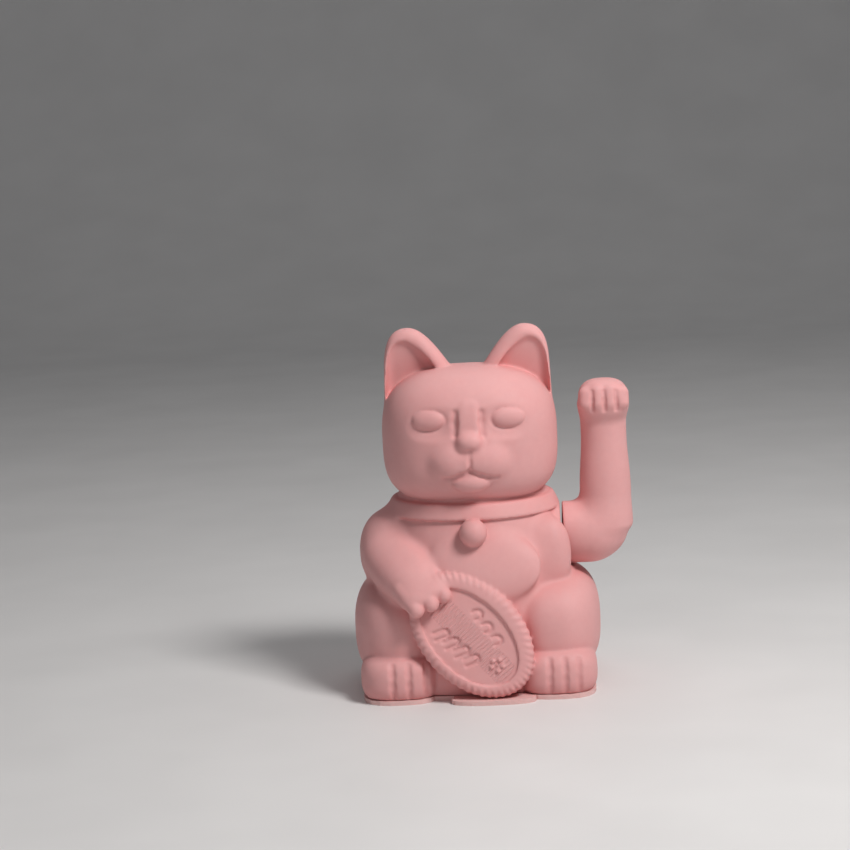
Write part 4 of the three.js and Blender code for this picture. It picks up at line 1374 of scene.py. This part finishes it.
class Shader:
    """A material under construction."""

    def __init__(self, name: str) -> None:
        """Start an empty node material."""
        self.material = bpy.data.materials.new(name)
        self.material.use_nodes = True
        self.tree = self.material.node_tree
        self.tree.nodes.clear()

    def node(self, kind: str, settings: dict, values: dict) -> list[Wire]:
        """Add any node.

        Args:
            kind: Its type.
            settings: What is set on the node first. A ramp's stops are given as "stops".
            values: Numbers, colours or wires for its inputs, by name or number.

        Returns:
            Its outputs.
        """
        made = self.tree.nodes.new(kind)
        for key, value in settings.items():
            if key == "stops":
                for i, (place, colour) in enumerate(value):
                    element = made.color_ramp.elements[i] if i < 2 else made.color_ramp.elements.new(place)
                    element.position, element.color = place, (*colour, 1.0)
            else:
                setattr(made, key, value)
        for key, value in values.items():
            if isinstance(value, Wire):
                self.tree.links.new(value.socket, made.inputs[key])
            else:
                made.inputs[key].default_value = value
        return [Wire(self, socket) for socket in made.outputs]

    def place(self) -> Wire:
        """Place on the resting object, in metres."""
        return self.node("ShaderNodeTexCoord", {}, {})[3]

    def noise(self, scale: float, detail: float = 2.0, rough: float = 0.5) -> Wire:
        """A soft random value from 0 to 1, with scale in waves per metre."""
        values = {"Vector": self.place(), "Scale": scale, "Detail": detail, "Roughness": rough}
        return self.node("ShaderNodeTexNoise", {}, values)[0]

    def ramp(self, value: Wire, *stops: tuple[float, Triple]) -> Wire:
        """A colour for a value."""
        return self.node("ShaderNodeValToRGB", {"stops": stops}, {"Fac": value})[0]

    def blend(self, share: Number, first: object, second: object) -> Wire:
        """Mix two colours, given as wires or as red, green and blue.

        Args:
            share: How much of the second colour shows, from 0 to 1.
            first: The colour at 0.
            second: The colour at 1.

        Returns:
            The mixed colour.
        """
        colours = {6: first, 7: second}
        values = {k: v if isinstance(v, Wire) else (*v, 1.0) for k, v in colours.items()}
        return self.node("ShaderNodeMix", {"data_type": "RGBA"}, {0: share, **values})[2]

    def bump(self, height: Wire, depth_mm: float, normal: Optional[Wire] = None) -> Wire:
        """Raise the surface by a height from 0 to 1, times a depth.

        Args:
            height: The height.
            depth_mm: The depth in millimetres.
            normal: A finer normal that it is laid over.

        Returns:
            The normal.
        """
        values = {"Height": height, "Distance": depth_mm * MM, "Strength": 1.0}
        if normal is not None:
            values["Normal"] = normal
        return self.node("ShaderNodeBump", {}, values)[0]

    def along(self, origin: Triple, way: Sequence[float]) -> Wire:
        """How far a place lies from an origin in one direction, in millimetres.

        Args:
            origin: The origin, in millimetres.
            way: The direction, of length 1.

        Returns:
            The distance along it.
        """
        offset = self.node("ShaderNodeVectorMath", {"operation": "SUBTRACT"},
                           {0: self.place(), 1: tuple(v * MM for v in origin)})[0]
        reach = self.node("ShaderNodeVectorMath", {"operation": "DOT_PRODUCT"},
                          {0: offset, 1: tuple(float(v) for v in way)})[1]
        return reach * (1 / MM)

    def surface(self, **values: object) -> bpy.types.Material:
        """Close the material with one main shader.

        Args:
            values: Its sockets' values, with underscores for spaces.

        Returns:
            The finished material.
        """
        sockets = {key.replace("_", " "): value for key, value in values.items()}
        shader = self.node("ShaderNodeBsdfPrincipled", {}, sockets)[0]
        self.node("ShaderNodeOutputMaterial", {}, {"Surface": shader})
        return self.material


@dataclass(frozen=True)
class SoftPlastic:
    """Matte soft-touch plastic with a fine grain, faint clouding and painted shade in its creases."""

    name: str
    colour: Triple
    deep: Triple
    rough: float = 0.62
    grain_mm: float = 0.03
    glow: float = 0.12

    def colours(self, shader: Shader) -> Wire:
        """Cloudy colour that is a little deeper in patches, with painted shade that makes it darker and
        redder in creases and hollows.

        Args:
            shader: The material under construction.

        Returns:
            The colour.
        """
        cloud = shader.noise(38, 3)
        fine = shader.noise(420, 2) * 0.25 + cloud * 0.75
        clear = shader.ramp(fine, (0.3, self.deep), (0.62, self.colour))
        # Painted shade: an occlusion node darkens and reddens the colour in creases, hollows and under
        # overhangs.
        unshaded_share = shader.node("ShaderNodeAmbientOcclusion", {"samples": 4}, {"Distance": 0.012})[1]
        shade = shader.blend(0.5, self.deep, tuple(c * f for c, f in zip(self.deep, (0.90, 0.55, 0.55))))
        return shader.blend(unshaded_share, shade, clear)

    def normal(self, shader: Shader) -> Wire:
        """Fine grain over a faint unevenness of the moulded wall."""
        uneven = shader.bump(shader.noise(160, 1), self.grain_mm * 1.6)
        return shader.bump(shader.noise(3600, 2, 0.6), self.grain_mm, uneven)

    def build(self) -> bpy.types.Material:
        """Make the material."""
        shader = Shader(self.name)
        rough = shader.noise(900, 2) * 0.10 + (self.rough - 0.05)
        return shader.surface(Base_Color=self.colours(shader), Roughness=rough, Normal=self.normal(shader),
                              Subsurface_Weight=self.glow, Subsurface_Radius=(1.0, 0.35, 0.3),
                              Subsurface_Scale=0.003, Specular_IOR_Level=0.32)


@dataclass(frozen=True)
class CoinPlastic(SoftPlastic):
    """The body's plastic, with fine strokes across the coin's sunk field."""

    coin: Coin = field(default_factory=Coin)
    pitch: float = 1.5

    def normal(self, shader: Shader) -> Wire:
        """Grain, and the strokes where the coin's field lies.

        Args:
            shader: The material under construction.

        Returns:
            The normal.
        """
        wide, long, front = self.coin.axes().T
        u = shader.along(self.coin.at, wide)
        v = shader.along(self.coin.at, long)
        w = shader.along(self.coin.at, front)
        field_u, field_v = self.coin.wide_half - self.coin.rim, self.coin.long_half - self.coin.rim
        aside = u - self.coin.aside
        reach = (aside * aside) * (1 / field_u ** 2) + (v * v) * (1 / field_v ** 2)
        face = self.coin.thick / 2 - self.coin.recess
        middle = (aside.size() < 5.2) * ((w - face).size() < 0.7) * (reach < 0.88)
        bend = shader.noise(120, 1) * 2.2
        strokes = ((v + bend) * (2 * math.pi / self.pitch)).wave() * 0.5 + 0.5
        return shader.bump(strokes * middle, 0.3, super().normal(shader))


@dataclass(frozen=True)
class HardPlastic:
    """Satin injection-moulded plastic for the parts inside."""

    name: str
    colour: Triple
    rough: float = 0.45

    def build(self) -> bpy.types.Material:
        """Make the material."""
        shader = Shader(self.name)
        tint = tuple(c * 0.86 for c in self.colour)
        colour = shader.ramp(shader.noise(60, 3), (0.3, tint), (0.7, self.colour))
        rough = shader.noise(700, 2) * 0.16 + (self.rough - 0.08)
        return shader.surface(Base_Color=colour, Roughness=rough,
                              Normal=shader.bump(shader.noise(2400, 2), 0.02))


@dataclass(frozen=True)
class Metal:
    """Drawn or turned metal with fine lines along one axis."""

    name: str
    colour: Triple
    rough: float = 0.3
    stretch: Triple = (60.0, 2600.0, 2600.0)

    def build(self) -> bpy.types.Material:
        """Make the material."""
        shader = Shader(self.name)
        lines = shader.node("ShaderNodeVectorMath", {"operation": "MULTIPLY"},
                            {0: shader.place(), 1: self.stretch})[0]
        streak = shader.node("ShaderNodeTexNoise", {}, {"Vector": lines, "Scale": 1.0, "Detail": 2.0})[0]
        dull = tuple(c * 0.72 for c in self.colour)
        colour = shader.ramp(streak * 0.6 + shader.noise(90, 3) * 0.4, (0.3, dull), (0.65, self.colour))
        return shader.surface(Base_Color=colour, Metallic=1.0, Roughness=streak * 0.2 + (self.rough - 0.1),
                              Normal=shader.bump(streak, 0.012))


@dataclass(frozen=True)
class WoundCopper:
    """Fine lacquered wire wound in layers round an upright axis, with painted shade in the grooves between
    the turns.
    """

    name: str
    colour: Triple
    pitch: float = 0.32

    def build(self) -> bpy.types.Material:
        """Make the material."""
        shader = Shader(self.name)
        height = shader.along((0, 0, 0), (0, 0, 1))
        turns = (height * (2 * math.pi / self.pitch)).wave() * 0.5 + 0.5
        # Painted shade: the colour darkens in the grooves between the turns, where the bump sinks.
        deep = tuple(c * 0.35 for c in self.colour)
        colour = shader.ramp(turns * 0.8 + shader.noise(900, 2) * 0.2, (0.15, deep), (0.6, self.colour))
        return shader.surface(Base_Color=colour, Metallic=0.85, Roughness=shader.noise(500) * 0.2 + 0.22,
                              Coat_Weight=0.5, Normal=shader.bump(turns, 0.12))


@dataclass(frozen=True)
class BoardLacquer:
    """Green lacquer over copper tracks."""

    name: str
    colour: Triple
    track: Triple

    def build(self) -> bpy.types.Material:
        """Make the material."""
        shader = Shader(self.name)
        across = (shader.along((0, 0, 0), (1, 0, 0)) * 1.9 + shader.noise(110, 0) * 7).wave()
        lengthwise = (shader.along((0, 0, 0), (0, 1, 0)) * 0.8).wave()
        tracks = (across > 0.72) * (lengthwise > -0.6)
        colour = shader.blend(tracks, self.colour, self.track)
        mottled = shader.blend(shader.noise(300, 3) * 0.35, colour, tuple(c * 0.5 for c in self.colour))
        return shader.surface(Base_Color=mottled, Roughness=shader.noise(600) * 0.15 + 0.28,
                              Normal=shader.bump(tracks, 0.06))


@dataclass(frozen=True)
class CellJacket:
    """The printed sleeve of a dry cell, banded at both ends."""

    name: str
    colour: Triple
    band: Triple
    ends_mm: tuple[float, float]

    def build(self) -> bpy.types.Material:
        """Make the material."""
        shader = Shader(self.name)
        y = shader.along((0, 0, 0), (0, 1, 0))
        start, end = self.ends_mm
        banded = (y > end - 15.0) * (y < end - 1.6)
        steel = (y < start + 0.8) + (y > end - 1.6)
        printed = shader.blend(banded, self.colour, self.band)
        worn = shader.blend(shader.noise(260, 3) * 0.25, printed, tuple(c * 0.6 for c in self.colour))
        colour = shader.blend(steel, worn, (0.62, 0.62, 0.6))
        return shader.surface(Base_Color=colour, Metallic=steel * 0.95,
                              Roughness=shader.noise(500) * 0.12 + 0.26,
                              Normal=shader.bump(shader.noise(1400), 0.02))


# ---------------------------------------------------------------- studio


@dataclass
class Studio:
    """A pale floor, soft lights and the camera.

    Attributes:
        target_mm: Where the camera looks before it is shifted.
        azimuth_deg: How far it stands round to the right.
        elevation_deg: How far it looks down.
        distance_mm: How far it stands away.
        roll_deg: How far it leans.
        lens_mm: Its focal length on a 36 mm sensor.
        shift: How far the frame is moved, as shares of its width.
    """

    target_mm: Triple = (0, 0, 75)
    azimuth_deg: float = 0.91
    elevation_deg: float = 10.36
    distance_mm: float = 1050.5
    roll_deg: float = -2.54
    lens_mm: float = 106.3
    shift: tuple[float, float] = (-0.0564, 0.0928)

    def camera(self) -> None:
        """Set up the camera."""
        azimuth, elevation = math.radians(self.azimuth_deg), math.radians(self.elevation_deg)
        back = Vector((math.sin(azimuth) * math.cos(elevation), -math.cos(azimuth) * math.cos(elevation),
                       math.sin(elevation)))
        data = bpy.data.cameras.new("camera")
        data.lens, data.sensor_width = self.lens_mm, 36.0
        data.shift_x, data.shift_y = self.shift
        data.clip_start, data.clip_end = 0.01, 50.0
        camera = bpy.data.objects.new("camera", data)
        bpy.context.scene.collection.objects.link(camera)
        level = (-back).to_track_quat("-Z", "Y").to_matrix().to_4x4()
        lean = Matrix.Rotation(math.radians(self.roll_deg), 4, "Z")
        at = (Vector(self.target_mm) + back * self.distance_mm) * MM
        camera.matrix_world = Matrix.Translation(at) @ level @ lean
        bpy.context.scene.camera = camera

    def lamp(self, name: str, at: Triple, size: float, power: float, tint: Triple) -> None:
        """Hang one soft square lamp that looks at the figurine.

        Args:
            name: Name of the lamp.
            at: Its place in metres.
            size: Length of its sides.
            power: Its power in watts.
            tint: Its colour.
        """
        data = bpy.data.lights.new(name, "AREA")
        data.shape, data.size, data.energy, data.color = "SQUARE", size, power, tint
        lamp = bpy.data.objects.new(name, data)
        bpy.context.scene.collection.objects.link(lamp)
        way = Vector(self.target_mm) * MM - Vector(at)
        lamp.matrix_world = Matrix.Translation(at) @ way.to_track_quat("-Z", "Y").to_matrix().to_4x4()

    def lights(self) -> None:
        """Light the figurine from the upper right, with a weak fill."""
        self.lamp("key", (0.40, -0.40, 0.74), 0.24, 6.5, (1.0, 0.975, 0.96))
        self.lamp("fill", (-0.55, -0.85, 0.35), 0.9, 0.8, (1.0, 0.93, 0.92))
        self.lamp("top", (0.0, 0.25, 0.85), 0.6, 1.2, (1.0, 0.98, 0.97))
        world = bpy.data.worlds.new("room")
        world.use_nodes = True
        back = world.node_tree.nodes["Background"]
        back.inputs["Color"].default_value = (0.86, 0.87, 0.90, 1)
        back.inputs["Strength"].default_value = 0.15
        bpy.context.scene.world = world
        bpy.context.scene.view_settings.view_transform = "Standard"

    def floor(self) -> None:
        """Lay a wide pale floor that curves up behind."""
        work = bmesh.new()
        steps = 24
        profile = [(-3.0, 0.0), (1.2, 0.0)]
        profile += [(1.2 + math.sin(t) * 0.8, 0.8 - math.cos(t) * 0.8)
                    for t in (math.pi / 2 * (i + 1) / steps for i in range(steps))]
        profile.append((2.0, 3.0))
        rows = [[work.verts.new((x, y, z)) for y, z in profile] for x in (-3.0, 3.0)]
        for i in range(len(profile) - 1):
            work.faces.new((rows[0][i], rows[1][i], rows[1][i + 1], rows[0][i + 1]))
        mesh = bpy.data.meshes.new("floor")
        work.to_mesh(mesh)
        work.free()
        mesh.polygons.foreach_set("use_smooth", np.ones(len(mesh.polygons), bool))
        floor = bpy.data.objects.new("floor", mesh)
        bpy.context.scene.collection.objects.link(floor)
        shader = Shader("pale_floor")
        colour = shader.ramp(shader.noise(14, 2), (0.3, (0.72, 0.715, 0.71)), (0.7, (0.76, 0.755, 0.75)))
        mesh.materials.append(shader.surface(Base_Color=colour, Roughness=shader.noise(40) * 0.1 + 0.55))

    def build(self) -> None:
        """Set up floor, lights and camera."""
        self.floor()
        self.lights()
        self.camera()


# ---------------------------------------------------------------- assembly


# PINK_DEEP is the deeper tone of the clouding, and also the base colour of the painted crease shade.
PINK = (0.750, 0.385, 0.380)
PINK_DEEP = (0.715, 0.350, 0.345)


def dress(name: str, material: bpy.types.Material) -> None:
    """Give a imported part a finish.

    Args:
        name: Name of the part.
        material: Its finish.
    """
    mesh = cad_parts[name].data
    mesh.materials.clear()
    mesh.materials.append(material)
    LOG.info("%s is finished in %s", name, material.name)


@dataclass
class Skin:
    """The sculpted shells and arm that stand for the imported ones."""

    shells: Shells = field(default_factory=Shells)
    arm: RaisedArm = field(default_factory=RaisedArm)

    def build(self) -> None:
        """Sculpt every shell and hand it over to its body."""
        front, rear = self.shells.build()
        arm_front, arm_rear = self.arm.build()
        plain = SoftPlastic("shell_plastic", PINK, PINK_DEEP).build()
        faced = CoinPlastic("shell_plastic_coin", PINK, PINK_DEEP, coin=self.shells.coin).build()
        self.hand_over(front, faced, "figurine", "front_shell")
        self.hand_over(rear, plain, "figurine", "rear_shell")
        self.hand_over(arm_front, plain, "swinging_arm", "arm_front")
        self.hand_over(arm_rear, plain, "swinging_arm", "arm_rear")

    def hand_over(self, piece: bpy.types.Object, material: bpy.types.Material, body: str,
                  node: str) -> None:
        """Finish one piece, set it on its body and hide the node that it stands for.

        Args:
            piece: The piece.
            material: Its finish.
            body: Name of the body that it rides on.
            node: Name of the node that it stands for.
        """
        piece.data.materials.clear()
        piece.data.materials.append(material)
        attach(piece, body)
        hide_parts(node)
        LOG.info("%s stands for %s", piece.name, node)


@dataclass
class Base:
    """The base plate, its battery door and screws."""

    screws: int = 4

    def dress(self) -> None:
        """Finish the plate, the door and the screws."""
        plate = SoftPlastic("base_plastic", (0.80, 0.57, 0.55), (0.76, 0.52, 0.50), 0.58)
        dress("base_plate", plate.build())
        door = SoftPlastic("door_plastic", (0.79, 0.56, 0.54), (0.75, 0.51, 0.49), 0.55)
        dress("battery_door", door.build())
        steel = Metal("screw_steel", (0.66, 0.67, 0.69), 0.34, (1500.0, 1500.0, 300.0)).build()
        for i in range(self.screws):
            dress(f"base_screw_{i + 1}", steel)


@dataclass
class Power:
    """The dry cell with its contacts and leads."""

    def dress(self) -> None:
        """Finish the cell, the contacts and the leads."""
        low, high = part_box("battery_cell")
        ends = (low.y / MM, high.y / MM)
        sleeve = CellJacket("cell_sleeve", (0.05, 0.09, 0.16), (0.62, 0.5, 0.22), ends)
        dress("battery_cell", sleeve.build())
        spring = Metal("spring_steel", (0.74, 0.75, 0.77), 0.24, (1200.0, 200.0, 1200.0)).build()
        for name in ("contact_spring", "contact_plate_front", "contact_plate_rear"):
            dress(name, spring)
        dress("lead_red", HardPlastic("lead_red_sleeve", (0.55, 0.04, 0.03), 0.4).build())
        dress("lead_black", HardPlastic("lead_black_sleeve", (0.03, 0.03, 0.033), 0.4).build())


@dataclass
class Drive:
    """The circuit board with the coil and its few components."""

    def dress(self) -> None:
        """Finish the board, the coil and the components."""
        lacquer = BoardLacquer("board_lacquer", (0.05, 0.19, 0.07), (0.16, 0.36, 0.12))
        dress("circuit_board", lacquer.build())
        dress("coil_bobbin", HardPlastic("bobbin_plastic", (0.82, 0.80, 0.74)).build())
        dress("coil_winding", WoundCopper("wound_copper", (0.72, 0.30, 0.13)).build())
        dress("transistor", HardPlastic("transistor_resin", (0.035, 0.035, 0.04), 0.5).build())
        dress("capacitor", HardPlastic("capacitor_sleeve", (0.03, 0.045, 0.09), 0.35).build())
        dress("resistor", HardPlastic("resistor_coat", (0.60, 0.42, 0.24), 0.5).build())
        brass = Metal("board_screw_brass", (0.78, 0.62, 0.34), 0.32, (1500.0, 1500.0, 300.0)).build()
        for name in ("board_screw_1", "board_screw_2"):
            dress(name, brass)


@dataclass
class Swing:
    """The axle, its bracket and the pendulum under it."""

    def dress(self) -> None:
        """Finish the bracket, the axle and the pendulum."""
        white = HardPlastic("bracket_plastic", (0.80, 0.79, 0.75), 0.42).build()
        for name in ("bearing_bracket", "pendulum_lever", "arm_hub"):
            dress(name, white)
        axle = Metal("axle_steel", (0.78, 0.79, 0.80), 0.2, (80.0, 2600.0, 2600.0)).build()
        for name in ("pivot_axle", "axle_clip_inner", "axle_clip_outer"):
            dress(name, axle)
        screw = Metal("bracket_screw_steel", (0.66, 0.67, 0.69), 0.34, (1500.0, 300.0, 1500.0)).build()
        for name in ("bracket_screw_1", "bracket_screw_2"):
            dress(name, screw)
        dress("magnet", Metal("magnet_nickel", (0.50, 0.50, 0.50), 0.26, (900.0, 900.0, 300.0)).build())
        weight = Metal("counterweight_steel", (0.42, 0.43, 0.45), 0.4, (1800.0, 1800.0, 200.0))
        dress("counterweight", weight.build())


def main() -> None:
    """Build and dress the figurine and its studio."""
    logging.basicConfig(level=logging.INFO)
    Studio().build()
    Skin().build()
    for group in (Base(), Power(), Drive(), Swing()):
        group.dress()


if __name__ == "__main__":
    main()
